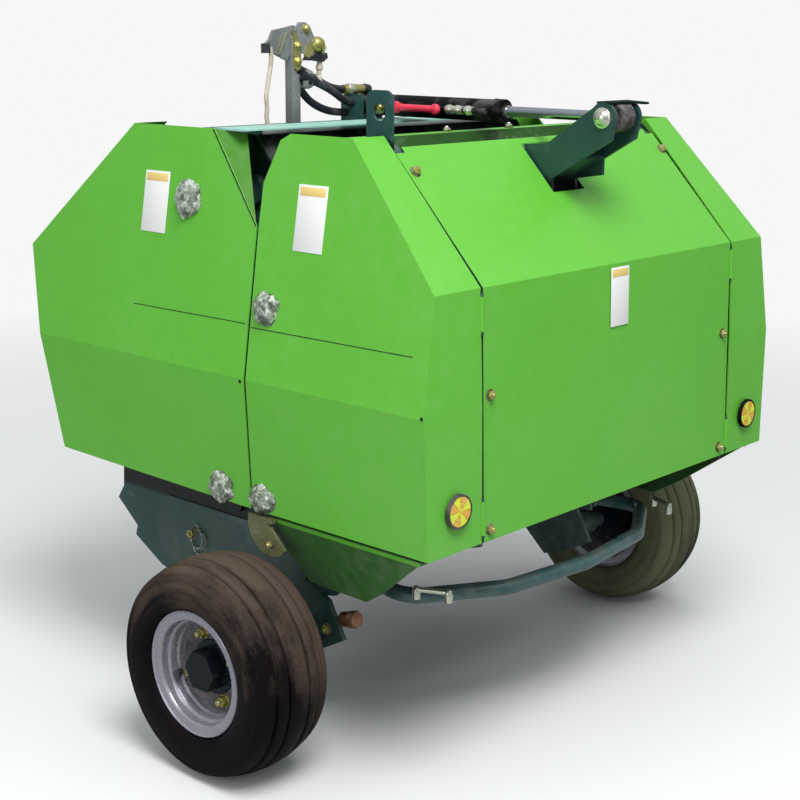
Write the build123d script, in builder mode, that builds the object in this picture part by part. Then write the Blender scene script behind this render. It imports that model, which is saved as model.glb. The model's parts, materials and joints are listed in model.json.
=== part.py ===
"""Small round baler on two wheels: +Y is forward travel, +X is the machine's right, +Z is up.

Stations along Y are counted from the wheel axle and x from the middle plane. Heights of the body are
counted from the foot line of the side covers, which rides a fixed step above the axle.
"""
import os
from math import atan2, cos, hypot, pi, radians, sin
from build123d import *

# Overall reach, which also sets the origin at the middle of the floor box
FRONT_REACH = 960.0
REAR_REACH = 437.0
AXLE_Y = (REAR_REACH - FRONT_REACH) / 2

# Wheels
TRACK_HALF = 635.0
TYRE_R = 208.0
TYRE_W = 176.0
TYRE_SHOULDER = 16.0
RIM_R = 120.0
RIM_W = 152.0
RIM_LIP = 5.0
BEAD_R = 101.5
WELL_R = 91.5
WELL_HALF = 20.0
RIM_T = 3.5
DISC_T = 6.0
DISC_SET = -17.0
HUB_R = 46.0
HUB_OUT = 62.0
CAP_R = 40.0
CAP_L = 42.0
HUB_IN = 75.0
FLANGE_T = 8.0
SPINDLE_R = 17.5
WHEEL_BOLT_R = 66.0
NUT_R = 9.0
NUT_COUNT = 4

# Chamber and its side plates
PANEL_W = 800.0
PLATE_T = 6.0
SHEET_T = 2.5
PLATE_X = PANEL_W / 2
PLATE_IN = PLATE_X - PLATE_T
PIN_CLEAR = 0.05
SEAT = 0.3

# Body outline, seen from the side: stations from the axle and heights
FOOT_Z = TYRE_R + 277.0
TOP_Z = FOOT_Z + 692.0
CREASE_Z = FOOT_Z + 248.0
NOSE_Z = FOOT_Z + 429.0
SHOULDER_Z = FOOT_Z + 450.0
TOP_FRONT = 407.0
TOP_REAR = -190.0
NOSE_Y = 713.0
FRONT_CREASE = 659.0
FRONT_FOOT = 602.0
REAR_SHOULDER = -414.0
REAR_CREASE = -422.0
REAR_FOOT = -427.0
SPLIT_TOP = 24.0
SPLIT_FOOT = 12.0
SPLIT_GAP = 6.0
PLATE_DROP = 14.0
ROOF_Z = TOP_Z - 15.0
ROOF_T = 4.0
BEAM_FRONT = FRONT_FOOT - 12.0

# Side covers: steps outwards from the side plates, and the gap that opens with the tailgate
CREASE_X = PLATE_X + 157.0
COVER_TOP_X = PLATE_X + 85.0
COVER_FOOT_X = PLATE_X + 148.0
COVER_GAP = 6.0
FLAP_Y = 170.0
FLAP_IN = 45.0
V_FRONT = 128.0
V_REAR = -37.0
V_CUT = (24.0, 12.0)
V_KNEE_Z = FOOT_Z + 603.0

# Door hinges at the outer edges of the covers
DOOR_X = PLATE_X + 4.5
KNUCKLE_R = 4.0
DOOR_PIN_R = 2.0
KNUCKLE_L = 60.0
KNUCKLE_AT = (0.1, 0.9)
LUG_L = 6.0
LUG_REACH = 0.9
NOTCH_REACH = 2.7

# Tailgate hinge at the apex of the gap between the covers
HINGE_Y = SPLIT_TOP
HINGE_Z = FOOT_Z + 525.0
HINGE_PIN_R = 15.0
EAR_R = 42.0
EAR_T = 8.0
EAR_GAP = 6.0
EAR_TAIL = 90.0

# Hydraulic cylinder above the roof
CLEVIS_Y = -395.0
CLEVIS_Z = TOP_Z + 26.0
MOUNT_Y = 251.0
MOUNT_Z = TOP_Z + 28.0
CYL_PIN_R = 11.0
BARREL_R = 22.0
BARREL_BASE = 36.0
GLAND_L = 22.0
GLAND_STEP = 1.0
NECK_R = 12.0
ROD_R = 10.0
BARREL_BORE_R = 14.0
ROD_INSIDE = 120.0
GLAND_REACH = 385.0
EYE_R = 28.0
EYE_BORE_R = 21.0
EYE_W = 44.0
CLEVIS_GAP = 70.0
CLEVIS_T = 8.0
PIN_END = 10.0
SLOT_CLEAR = 6.0
SLOT_Y = (-294.0, -212.0)
CROSS_Y = (-288.0, -240.0)
CROSS_Z = (FOOT_Z + 525.0, FOOT_Z + 545.0)

# Lifting lug on the left tail plate
LUG_Y = -172.0
LUG_W = 62.0
LUG_TOP = TOP_Z + 78.0
LUG_HOLE_R = 15.0
LUG_HOLE_Z = TOP_Z + 40.0

# Pick-up at the front
REEL_Y = 386.0
REEL_Z = FOOT_Z - 185.0
TINE_TIP_R = 150.0
TINE_R = 3.0
TINE_BAR_R = 9.0
TINE_BAR_AT = 92.0
REEL_TUBE_R = 42.0
REEL_SHAFT_R = 16.0
REEL_HALF = 360.0
TINE_ROWS = 4
TINE_COUNT = 10
TINE_PITCH = 72.0
BAND_R = 124.0
BAND_T = 3.0
BAND_W = 52.0
BAND_RAIL = 15.0
PICKUP_T = 4.0

# Bale ramp
RAMP_R = 15.0
RAMP_Y = -120.0
RAMP_Z = FOOT_Z - 155.0
RAMP_X = 366.0
RAMP_EYE_R = 20.0
RAMP_PIN_R = 9.0
RAMP_BEND_R = 60.0
RAMP_REACH = -364.0

# Hitch and parking leg
HITCH_Y = 800.0
HITCH_Z = FOOT_Z + 15.0
HITCH_SPACING = 683.0
HITCH_PIN_R = 11.0
HITCH_PIN_L = 60.0
ARM_T = 12.0
BAR_SIDE = 50.0
MAST_X = 93.0
MAST_T = 10.0
TOP_LINK_Y = 860.0
TOP_LINK_Z = HITCH_Z + 500.0
TOP_EAR_X = 23.0
TOP_EAR_R = 24.0
TOP_PIN_R = 9.5
LEG_X = 150.0
LEG_Y = 722.0
LEG_TOP = HITCH_Z + 60.0
LEG_SIDE = 50.0
LEG_WALL = 4.0
LEG_CLEAR = 0.5
SLEEVE_WALL = 5.0
SLEEVE_Z = (HITCH_Z - 60.0, HITCH_Z + 40.0)
FOOT_HALF = 60.0
FOOT_T = 8.0

# Gearbox and its input shaft
SHAFT_R = 17.5
JOURNAL_R = 20.0
SHAFT_FREE = 110.0
SHAFT_Z = HITCH_Z + 160.0
GEARBOX_Y = 665.0
GEARBOX_HALF = 75.0
GEARBOX_L = 160.0
GEARBOX_NOSE_R = 45.0

# Chamber rollers
CHAMBER_R = 330.0
CHAMBER_Y = 96.0
CHAMBER_Z = FOOT_Z + 250.0
ROLLER_R = 52.0
STUB_R = 18.0
BEARING_R = 28.0
BEARING_T = 14.0
FRONT_ANGLES = (-93, -68, 0, 27, 54, 81)
TAIL_ANGLES = (118, 144, 170, 196, 222)

# Reflectors on the rear strips of the covers
REFLECTOR_X = COVER_FOOT_X - 72.0
REFLECTOR_Z = FOOT_Z + 76.0
REFLECTOR_R = 31.0

# Control post, with the arms and the hose junction at its top
POST_X = -200.0
POST_Y = 256.0
POST_SIDE = 23.0
POST_TOP = TOP_Z + 168.0
HOSE_R = 8.0
COUPLER_R = 10.0


def at(y):
    """Row coordinate of a station that is counted from the axle."""
    return AXLE_Y + y


def side_prism(points, x_from, x_to):
    """Solid with a side outline of (station, height) points between two x planes."""
    with BuildPart() as prism:
        with BuildSketch(Plane.YZ.offset(min(x_from, x_to))):
            with BuildLine():
                Polyline(*[(at(y), z) for y, z in points], close=True)
            make_face()
        extrude(amount=abs(x_to - x_from))
    return prism.part


def folded(line, thickness, x_from, x_to):
    """Bent sheet whose side view follows (station, height) points, thickened to the line's left."""
    normals = []
    for (y0, z0), (y1, z1) in zip(line, line[1:]):
        run = hypot(y1 - y0, z1 - z0)
        normals.append(((z0 - z1) / run, (y1 - y0) / run))
    normals = [normals[0], *normals, normals[-1]]
    inner = []
    for (y, z), (ay, az), (by, bz) in zip(line, normals, normals[1:]):
        reach = thickness / (1 + ay * by + az * bz)
        inner.append((y + (ay + by) * reach, z + (az + bz) * reach))
    return side_prism([*line, *reversed(inner)], x_from, x_to)


def cross_prism(points, y_from, y_to):
    """Solid with a front outline of (x, height) points between two stations."""
    with BuildPart() as prism:
        with BuildSketch(Plane.XZ.offset(-at(y_from))):
            with BuildLine():
                Polyline(*points, close=True)
            make_face()
        extrude(amount=-(y_to - y_from))
    return prism.part


def block(x, y, z):
    """Box between two values on each axis, with y as stations."""
    with BuildPart() as piece:
        with Locations((sum(x) / 2, at(sum(y) / 2), sum(z) / 2)):
            Box(abs(x[1] - x[0]), abs(y[1] - y[0]), abs(z[1] - z[0]))
    return piece.part


def rod(radius, start, end):
    """Round bar between two (x, station, height) points."""
    foot, head = (Vector(x, at(y), z) for x, y, z in (start, end))
    with BuildPart() as piece:
        with BuildSketch(Plane(origin=foot, z_dir=head - foot)):
            Circle(radius)
        extrude(amount=(head - foot).length)
    return piece.part


def rod_x(radius, x_from, x_to, y, z):
    """Round bar along X."""
    return rod(radius, (x_from, y, z), (x_to, y, z))


def sheet(points, thickness):
    """Flat sheet through 3-D points (x, station, z), thickened to one side."""
    corners = [Vector(x, at(y), z) for x, y, z in points]
    side = corners[1] - corners[0]
    plane = Plane(origin=corners[0], x_dir=side, z_dir=side.cross(corners[2] - corners[0]))
    flat = [plane.to_local_coords(corner) for corner in corners]
    with BuildPart() as piece:
        with BuildSketch(plane):
            with BuildLine():
                Polyline(*[(p.X, p.Y) for p in flat], close=True)
            make_face()
        extrude(amount=thickness)
    return piece.part


def inset(points, steps):
    """Outline with its edge i moved to the left by steps[i], edges running from point i to i + 1."""
    lines = []
    for index, (y0, z0) in enumerate(points):
        y1, z1 = points[(index + 1) % len(points)]
        length = hypot(y1 - y0, z1 - z0)
        ny, nz = -(z1 - z0) / length, (y1 - y0) / length
        lines.append((y0 + ny * steps[index], z0 + nz * steps[index], y1 - y0, z1 - z0))
    moved = []
    for index in range(len(points)):
        ay, az, ady, adz = lines[index - 1]
        by, bz, bdy, bdz = lines[index]
        share = ((by - ay) * bdz - (bz - az) * bdy) / (ady * bdz - adz * bdy)
        moved.append((ay + ady * share, az + adz * share))
    return moved


def across(piece):
    """The same piece on the other side of the middle plane."""
    return mirror(piece, about=Plane.YZ)


parts = {}


def keep(name, piece):
    parts[name] = piece


def keep_pair(name, left):
    """A left piece and its mirror image."""
    keep(name + "_left", left)
    keep(name + "_right", across(left))


def roller_places(angles):
    """(station, height) of each chamber roller."""
    return [(CHAMBER_Y + CHAMBER_R * cos(radians(a)), CHAMBER_Z + CHAMBER_R * sin(radians(a))) for a in angles]


def add_bearings(angles):
    """Bearing housings on the outer face of the left side plate."""
    for y, z in roller_places(angles):
        add(rod_x(BEARING_R, -PLATE_X, -PLATE_X - BEARING_T, y, z))


class DoorHinge:
    """Knuckles of a left door on a line of (station, height) points, with inward as the way to the chamber."""

    def __init__(self, foot, top, inward):
        run = hypot(top[0] - foot[0], top[1] - foot[1])
        self.foot = foot
        self.way = ((top[0] - foot[0]) / run, (top[1] - foot[1]) / run)
        self.inward = inward
        self.starts = [run * share - KNUCKLE_L / 2 for share in KNUCKLE_AT]

    def spot(self, along, aside=0.0):
        """(station, height) at a distance along the hinge line and aside of it, inwards."""
        return (self.foot[0] + self.way[0] * along + self.inward * self.way[1] * aside,
                self.foot[1] + self.way[1] * along - self.inward * self.way[0] * aside)

    def bar(self, radius, start, end):
        return rod(radius, (-DOOR_X, *self.spot(start)), (-DOOR_X, *self.spot(end)))

    def tab(self, start, end, near, far, x_from, x_to):
        """Block between two distances along the line and two aside of it."""
        corners = [self.spot(start, near), self.spot(end, near), self.spot(end, far), self.spot(start, far)]
        return side_prism(corners, x_from, x_to)

    def add_to_door(self):
        for start in self.starts:
            add(self.bar(KNUCKLE_R, start, start + KNUCKLE_L))
            add(self.bar(DOOR_PIN_R + PIN_CLEAR, start - LUG_L, start + KNUCKLE_L + LUG_L), mode=Mode.SUBTRACT)
            for end in (start - LUG_L - 4, start + KNUCKLE_L + SEAT):
                notch = self.tab(end, end + LUG_L + 4 - SEAT, -KNUCKLE_R, KNUCKLE_R, -DOOR_X + DOOR_PIN_R,
                                 -DOOR_X - NOTCH_REACH)
                add(notch, mode=Mode.SUBTRACT)

    def add_to_plate(self, plate_gap):
        for start in self.starts:
            add(self.bar(DOOR_PIN_R, start - LUG_L, start + KNUCKLE_L + LUG_L))
            for end in (start - LUG_L, start + KNUCKLE_L + SEAT):
                lug_x = -DOOR_X - LUG_REACH
                add(self.tab(end, end + LUG_L - SEAT, KNUCKLE_R - 0.5, plate_gap + 10, -PLATE_IN, lug_x))
                add(self.tab(end, end + LUG_L - SEAT, -DOOR_PIN_R, KNUCKLE_R - 0.5, -PLATE_X - 0.6, lug_x))


front_door_hinge = DoorHinge((FRONT_FOOT, FOOT_Z + 9), (NOSE_Y, NOSE_Z), -1)
rear_door_hinge = DoorHinge((REAR_FOOT, FOOT_Z), (REAR_SHOULDER, SHOULDER_Z), 1)

# Side plates of the front frame, with the pick-up's side, the hinge pin and the lobe behind the wheel
front_plate_outline = [
    (SPLIT_FOOT + SPLIT_GAP, FOOT_Z - 15), (SPLIT_TOP + 3, HINGE_Z - 60), (SPLIT_TOP - PLATE_DROP - 10, HINGE_Z - 30),
    (SPLIT_TOP - PLATE_DROP - 10, HINGE_Z + 6), (SPLIT_TOP + 10, HINGE_Z + 40), (FLAP_Y, TOP_Z - PLATE_DROP),
    (TOP_FRONT - 8, TOP_Z - PLATE_DROP), (NOSE_Y - 16, NOSE_Z), (FRONT_CREASE - PLATE_DROP, CREASE_Z),
    (BEAM_FRONT, FOOT_Z), (REEL_Y + 64, REEL_Z + 90), (REEL_Y + 100, REEL_Z + 13), (REEL_Y + 93, REEL_Z - 36),
    (REEL_Y + 78, REEL_Z - 78), (REEL_Y + 34, REEL_Z - 110), (REEL_Y - 56, REEL_Z - 50), (120, REEL_Z - 50),
    (-60, REEL_Z - 10), (-100, REEL_Z + 30), (-100, REEL_Z + 80), (-40, FOOT_Z - 45),
]
pickup_outline = [
    (REEL_Y + 184, REEL_Z - 31), (REEL_Y + 177, REEL_Z - 9), (REEL_Y + 242, REEL_Z + 43), (REEL_Y + 221, REEL_Z + 74),
    (FRONT_FOOT - 2, FOOT_Z + 20), (BEAM_FRONT + SEAT, FOOT_Z + 20), (BEAM_FRONT + SEAT, FOOT_Z - SEAT),
    (REEL_Y + 120, FOOT_Z - SEAT), (REEL_Y + 54, REEL_Z + 90), (REEL_Y - 70, REEL_Z + 20), (REEL_Y - 56, REEL_Z - 75),
    (REEL_Y + 93, REEL_Z - 81),
]
with BuildPart() as side_plate_left:
    add(side_prism(front_plate_outline, -PLATE_IN, -PLATE_X))
    add(side_prism(pickup_outline, -PLATE_IN + PICKUP_T, -PLATE_IN))
    add(rod_x(HINGE_PIN_R, -PLATE_IN, -PLATE_X - EAR_GAP - EAR_T - 4, HINGE_Y, HINGE_Z))
    add_bearings(FRONT_ANGLES)
    front_door_hinge.add_to_plate(PLATE_DROP)
keep_pair("side_plate", side_plate_left.part)

# Front sheet
ROOF_FOOT = ROOF_Z - ROOF_T
BEAM_TOP = FOOT_Z + 60
front_line = [(FRONT_FOOT - 4, BEAM_TOP), (FRONT_CREASE - 18, CREASE_Z), (NOSE_Y - 20, NOSE_Z),
              (TOP_FRONT - 8, ROOF_FOOT)]
keep("front_panel", folded(front_line, ROOF_T, -PLATE_IN, PLATE_IN))

# Cross members of the frame: two tubes and the roof sheet, which slopes down to the hinge
BEAM_SIDE = 40.0
REAR_BEAM_Y = (-95.0, -35.0)
RAMP_HOLD_T = 8.0
roof_line = [(SPLIT_TOP + 36, HINGE_Z + 34), (FLAP_Y - 20, ROOF_FOOT), (TOP_FRONT - 12, ROOF_FOOT)]
with BuildPart() as frame_beams:
    add(folded(roof_line, ROOF_T, -PLATE_IN, PLATE_IN))
    add(block((-PLATE_IN, PLATE_IN), (BEAM_FRONT - BEAM_SIDE, BEAM_FRONT), (FOOT_Z, BEAM_TOP)))
    add(block((-PLATE_IN, PLATE_IN), REAR_BEAM_Y, (RAMP_Z - 25, RAMP_Z + 35)))
    for side in (-1, 1):
        inner = side * (RAMP_X - 26)
        add(block((inner, inner - side * RAMP_HOLD_T), (RAMP_Y - 16, REAR_BEAM_Y[1] + 5), (RAMP_Z - 20, RAMP_Z + 20)))
        add(rod_x(RAMP_PIN_R, inner - side * RAMP_HOLD_T, side * PLATE_IN, RAMP_Y, RAMP_Z))
keep("frame_beams", frame_beams.part)


def cover_solid(outline, step):
    """Closed body of a left cover, with its bent outer side moved inwards by step."""
    inner_x = -PLATE_X - COVER_GAP + (20 if step else 0)
    bent = [(inner_x, FOOT_Z - 200), (-COVER_FOOT_X + step, FOOT_Z - 200), (-COVER_FOOT_X + step, FOOT_Z),
            (-CREASE_X + step, CREASE_Z), (-COVER_TOP_X + step, TOP_Z), (-COVER_TOP_X + step, TOP_Z + 200),
            (inner_x, TOP_Z + 200)]
    with BuildPart() as body:
        add(side_prism(outline, -CREASE_X - 20, -PLATE_X + 30))
        add(cross_prism(bent, REAR_FOOT - 100, NOSE_Y + 100), mode=Mode.INTERSECT)
    return body.part


# Side covers: open shells of bent sheet, hinged as doors at their outer edges
rear_outline = [(SPLIT_FOOT - 3, FOOT_Z), (SPLIT_TOP - 3, HINGE_Z), (SPLIT_TOP - 4, V_KNEE_Z),
                (V_REAR + V_CUT[0], TOP_Z - V_CUT[1]), (V_REAR, TOP_Z), (TOP_REAR, TOP_Z),
                (REAR_SHOULDER, SHOULDER_Z), (REAR_CREASE, CREASE_Z), (REAR_FOOT, FOOT_Z)]
front_outline = [(SPLIT_FOOT + 3, FOOT_Z), (FRONT_FOOT, FOOT_Z + 9), (FRONT_CREASE, CREASE_Z), (NOSE_Y, NOSE_Z),
                 (TOP_FRONT, TOP_Z), (FLAP_Y, TOP_Z), (SPLIT_TOP + 3, HINGE_Z)]
OPEN = -20.0
with BuildPart() as cover_rear_left:
    add(cover_solid(rear_outline, 0))
    add(cover_solid(inset(rear_outline, [OPEN, OPEN, OPEN, OPEN, OPEN, SHEET_T, SHEET_T, SHEET_T, OPEN]), SHEET_T),
        mode=Mode.SUBTRACT)
    rear_door_hinge.add_to_door()
keep_pair("cover_rear", cover_rear_left.part)

FLAP_FOOT_X = COVER_TOP_X + (CREASE_X - COVER_TOP_X) * (TOP_Z - HINGE_Z) / (TOP_Z - CREASE_Z)
with BuildPart() as cover_front_left:
    add(cover_solid(front_outline, 0))
    add(cover_solid(inset(front_outline, [OPEN, SHEET_T, SHEET_T, SHEET_T, OPEN, OPEN, OPEN]), SHEET_T),
        mode=Mode.SUBTRACT)
    add(sheet([(-COVER_TOP_X + 0.4, FLAP_Y + 1, TOP_Z - 1), (-COVER_TOP_X + FLAP_IN, V_FRONT, TOP_Z - 8),
               (-FLAP_FOOT_X + 1, SPLIT_TOP + 4, HINGE_Z)], SHEET_T))
    front_door_hinge.add_to_door()
keep_pair("cover_front", cover_front_left.part)

# Roof deck, a raised sheet between the gap and the roof
DECK_Y = (98.0, 190.0)
DECK_EDGE = 15.0
DECK_T = 3.0
DECK_FOOT_Y = DECK_Y[1] - 32
with BuildPart() as deck:
    add(block((-COVER_TOP_X + DECK_EDGE, COVER_TOP_X - DECK_EDGE), DECK_Y, (TOP_Z - DECK_T, TOP_Z)))
    for side in (-1, 1):
        add(block((side * (PLATE_IN - 20), side * PLATE_IN), (DECK_FOOT_Y, DECK_Y[1]), (ROOF_Z, TOP_Z - DECK_T)))
keep("roof_deck", deck.part)

# Mount of the cylinder, with its pin and hose ports
MOUNT_CHEEK = 10.0
CHEEK_IN = EYE_W / 2 + 2
CHEEK_OUT = CHEEK_IN + MOUNT_CHEEK
PORT_X = -45.0
PORT_HALF = 22.0
UPPER_PORT_Z = TOP_Z + 30.0
LOWER_PORT_Z = TOP_Z + 11.0
MOUNT_TOP = MOUNT_Z + 20
with BuildPart() as mount:
    for side in (-1, 1):
        add(block((side * CHEEK_IN, side * CHEEK_OUT), (MOUNT_Y - 24, MOUNT_Y + 24), (ROOF_Z, MOUNT_TOP)))
    add(rod_x(CYL_PIN_R, PORT_X, CHEEK_OUT + 6, MOUNT_Y, MOUNT_Z))
    add(block((PORT_X, -CHEEK_OUT), (MOUNT_Y - PORT_HALF, MOUNT_Y + PORT_HALF), (ROOF_Z, MOUNT_TOP - 4)))
keep("cylinder_mount", mount.part)

# Tailgate side plates with the hinge ear, and the lifting lug on the left one
tail_outline = [
    (SPLIT_FOOT - SPLIT_GAP, FOOT_Z - 7), (SPLIT_TOP - 3, HINGE_Z - 66), (SPLIT_TOP - 31, HINGE_Z - 34),
    (SPLIT_TOP - 31, HINGE_Z + 10), (SPLIT_TOP - 8, V_KNEE_Z), (V_REAR + 18, TOP_Z - 18), (V_REAR - 4, TOP_Z - 10),
    (TOP_REAR + 2, TOP_Z - 10),
    (REAR_SHOULDER + 8, SHOULDER_Z - 4), (REAR_CREASE + 8, CREASE_Z), (REAR_FOOT + 8, FOOT_Z - 10),
    (-260, FOOT_Z - 60), (-60, FOOT_Z - 60),
]


def tail_plate(lug):
    with BuildPart() as plate:
        add(side_prism(tail_outline, -PLATE_IN, -PLATE_X))
        with BuildSketch(Plane.YZ.offset(-PLATE_X - EAR_GAP - EAR_T)):
            with BuildLine():
                Polyline((at(HINGE_Y - EAR_TAIL), HINGE_Z + 60), (at(HINGE_Y), HINGE_Z + EAR_R))
                ThreePointArc((at(HINGE_Y), HINGE_Z + EAR_R), (at(HINGE_Y + EAR_R), HINGE_Z),
                              (at(HINGE_Y), HINGE_Z - EAR_R))
                Polyline((at(HINGE_Y), HINGE_Z - EAR_R), (at(HINGE_Y - EAR_TAIL), HINGE_Z - 60),
                         (at(HINGE_Y - EAR_TAIL), HINGE_Z + 60))
            make_face()
            with Locations((at(HINGE_Y), HINGE_Z)):
                Circle(HINGE_PIN_R + PIN_CLEAR, mode=Mode.SUBTRACT)
        extrude(amount=EAR_T)
        add(block((-PLATE_X - EAR_GAP, -PLATE_X), (HINGE_Y - EAR_TAIL, HINGE_Y - EAR_TAIL + 36),
                  (HINGE_Z - 50, HINGE_Z + 50)))
        add_bearings(TAIL_ANGLES)
        rear_door_hinge.add_to_plate(8)
        if lug:
            with BuildSketch(Plane.YZ.offset(-PLATE_X)):
                with Locations((at(LUG_Y), (TOP_Z - 40 + LUG_TOP) / 2)):
                    RectangleRounded(LUG_W, LUG_TOP - TOP_Z + 40, 18)
                with Locations((at(LUG_Y), LUG_HOLE_Z)):
                    Circle(LUG_HOLE_R, mode=Mode.SUBTRACT)
            extrude(amount=PLATE_T)
    return plate.part


keep("tail_plate_left", tail_plate(True))
keep("tail_plate_right", across(tail_plate(False)))

# Rear panel: slope and back in one bent sheet, with the slot for the clevis and notched top corners
SLOT_X = CLEVIS_GAP / 2 + CLEVIS_T + SLOT_CLEAR
SLOPE_TOP = (TOP_REAR - 13, TOP_Z - 19.7)
rear_line = [SLOPE_TOP, (REAR_SHOULDER, SHOULDER_Z), (REAR_FOOT, FOOT_Z)]
flange_line = [(TOP_REAR - 30, TOP_Z - 37.6), (REAR_SHOULDER, SHOULDER_Z), (REAR_FOOT + 1, FOOT_Z + 44)]
with BuildPart() as rear_panel:
    add(folded(rear_line, SHEET_T, -PLATE_X, PLATE_X))
    add(block((-SLOT_X, SLOT_X), SLOT_Y, (FOOT_Z + 500, TOP_Z)), mode=Mode.SUBTRACT)
    for side in (-1, 1):
        notch = block((side * (PLATE_X - 24), side * (PLATE_X + 4)), (TOP_REAR - 22, TOP_REAR + 10), (TOP_Z - 60, TOP_Z + 10))
        add(notch, mode=Mode.SUBTRACT)
    for side in (-1, 1):
        add(folded(flange_line, 22, side * PLATE_IN, side * (PLATE_IN - SHEET_T)))
keep("rear_panel", rear_panel.part)

# Cross members of the tailgate and the sunk sheet on its top
TAIL_BAR = 35.0
TAIL_BAR_TOP = TOP_Z - 12.0
TAIL_ROOF_Z = TOP_Z - 46.0
with BuildPart() as tail_frame:
    add(block((-PLATE_IN, PLATE_IN), (V_REAR - 10 - TAIL_BAR, V_REAR - 10), (TAIL_BAR_TOP - TAIL_BAR, TAIL_BAR_TOP)))
    add(block((-PLATE_IN, PLATE_IN), (TOP_REAR + 4, V_REAR - 10 - TAIL_BAR), (TAIL_ROOF_Z, TAIL_ROOF_Z + 3)))
    add(block((-PLATE_IN, PLATE_IN), (REAR_FOOT + 8, REAR_FOOT + 48), (FOOT_Z + 2, FOOT_Z + 42)))
    add(block((-PLATE_IN, PLATE_IN), CROSS_Y, CROSS_Z))
keep("tail_frame", tail_frame.part)

# Clevis bracket: two cheeks on the cross member, a web between them and the cylinder's pin
CHEEK_TIP = (CLEVIS_Y - 20, CLEVIS_Z - 40)
cheek_top = [(-216, TOP_Z - 30), (-270, TOP_Z - 26)]
cheek_low = [(CROSS_Y[0], CROSS_Z[1]), (-282, TOP_Z - 92)]
stop_low = [(CROSS_Y[0], CROSS_Z[1]), (-280, TOP_Z - 96), (-343, TOP_Z - 86), (-343, TOP_Z - 56)]


def cheek_outline(low):
    return [(CLEVIS_Y + 8, CLEVIS_Z + EYE_R - 1), *reversed(cheek_top), (CROSS_Y[1], CROSS_Z[1]), *low, CHEEK_TIP,
            (CLEVIS_Y - EYE_R + 1, CLEVIS_Z - 8)]


with BuildPart() as clevis:
    for side, low in ((-1, cheek_low), (1, stop_low)):
        face_in = side * CLEVIS_GAP / 2
        add(side_prism(cheek_outline(low), face_in, face_in + side * CLEVIS_T))
        add(rod_x(EYE_R, face_in, face_in + side * CLEVIS_T, CLEVIS_Y, CLEVIS_Z))
    add(folded([(-284, TOP_Z - 88), (-350, TOP_Z - 51)], -5, -CLEVIS_GAP / 2, CLEVIS_GAP / 2))
    pin_reach = CLEVIS_GAP / 2 + CLEVIS_T + PIN_END
    add(rod_x(CYL_PIN_R, -pin_reach, pin_reach, CLEVIS_Y, CLEVIS_Z))
keep("clevis_bracket", clevis.part)

# Skirts under the rear covers
SKIRT_TOP = FOOT_Z - 7
SKIRT_X = COVER_FOOT_X - 6
SKIRT_Y = (-408.0, -33.0)
SKIRT_LEAN = 0.493
skirt_drops = [(SKIRT_Y[0], 0), (-267, 106), (-212, 140), (-65, 138), (-36, 77), (SKIRT_Y[1], 0)]
with BuildPart() as skirt_left:
    add(sheet([(-SKIRT_X + SKIRT_LEAN * drop, y, SKIRT_TOP - drop) for y, drop in skirt_drops], SHEET_T))
    add(block((-SKIRT_X, -PLATE_X), SKIRT_Y, (SKIRT_TOP - SHEET_T, SKIRT_TOP)))
keep_pair("skirt", skirt_left.part)

# Latch hooks at the front ends of the skirts
HOOK_T = 6.0
with BuildPart() as hook_left:
    with BuildSketch(Plane.YZ.offset(-CREASE_X)):
        with BuildLine():
            ThreePointArc((at(13), FOOT_Z - 5), (at(-5), FOOT_Z - 62), (at(-60), FOOT_Z - 74))
            ThreePointArc((at(-60), FOOT_Z - 74), (at(-74), FOOT_Z - 69), (at(-84), FOOT_Z - 59))
            Line((at(-84), FOOT_Z - 59), (at(-28), FOOT_Z - 5))
            Line((at(-28), FOOT_Z - 5), (at(13), FOOT_Z - 5))
        make_face()
    extrude(amount=HOOK_T)
    add(block((-CREASE_X, -SKIRT_X), (SKIRT_Y[1] - 16, 0), (SKIRT_TOP - 8, SKIRT_TOP)))
keep_pair("latch_hook", hook_left.part)

# Round reflectors on the rear strips of the covers
reflector_foot = REAR_FOOT + (REAR_CREASE - REAR_FOOT) * (REFLECTOR_Z - FOOT_Z) / (CREASE_Z - FOOT_Z)
keep_pair("reflector", rod(REFLECTOR_R, (-REFLECTOR_X, reflector_foot - 0.8, REFLECTOR_Z),
                           (-REFLECTOR_X, -REAR_REACH, REFLECTOR_Z)))

# Cylinder: barrel with its front eye, the oil line with its lever valve, and the rod with its eye
rise = atan2(CLEVIS_Z - MOUNT_Z, MOUNT_Y - CLEVIS_Y)
span = hypot(CLEVIS_Y - MOUNT_Y, CLEVIS_Z - MOUNT_Z)


def on_axis(along, x=0.0, up=0.0):
    """(x, station, height) at a distance along the cylinder from its mount."""
    return (x, MOUNT_Y - along * cos(rise) + up * sin(rise), MOUNT_Z + along * sin(rise) + up * cos(rise))


with BuildPart() as cylinder_barrel:
    add(rod(BARREL_R, on_axis(BARREL_BASE), on_axis(GLAND_REACH)))
    add(rod(BARREL_R + GLAND_STEP, on_axis(GLAND_REACH - GLAND_L), on_axis(GLAND_REACH)))
    add(rod_x(EYE_BORE_R, -EYE_W / 2, EYE_W / 2, MOUNT_Y, MOUNT_Z))
    add(rod(NECK_R, on_axis(0), on_axis(BARREL_BASE + 4)))
    add(rod_x(CYL_PIN_R + PIN_CLEAR, -EYE_W, EYE_W, MOUNT_Y, MOUNT_Z), mode=Mode.SUBTRACT)
    add(rod(BARREL_BORE_R, on_axis(BARREL_BASE + 24), on_axis(GLAND_REACH - 30)), mode=Mode.SUBTRACT)
    add(rod(ROD_R + PIN_CLEAR, on_axis(GLAND_REACH - 31), on_axis(GLAND_REACH + 1)), mode=Mode.SUBTRACT)
keep("cylinder_barrel", cylinder_barrel.part)

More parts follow.
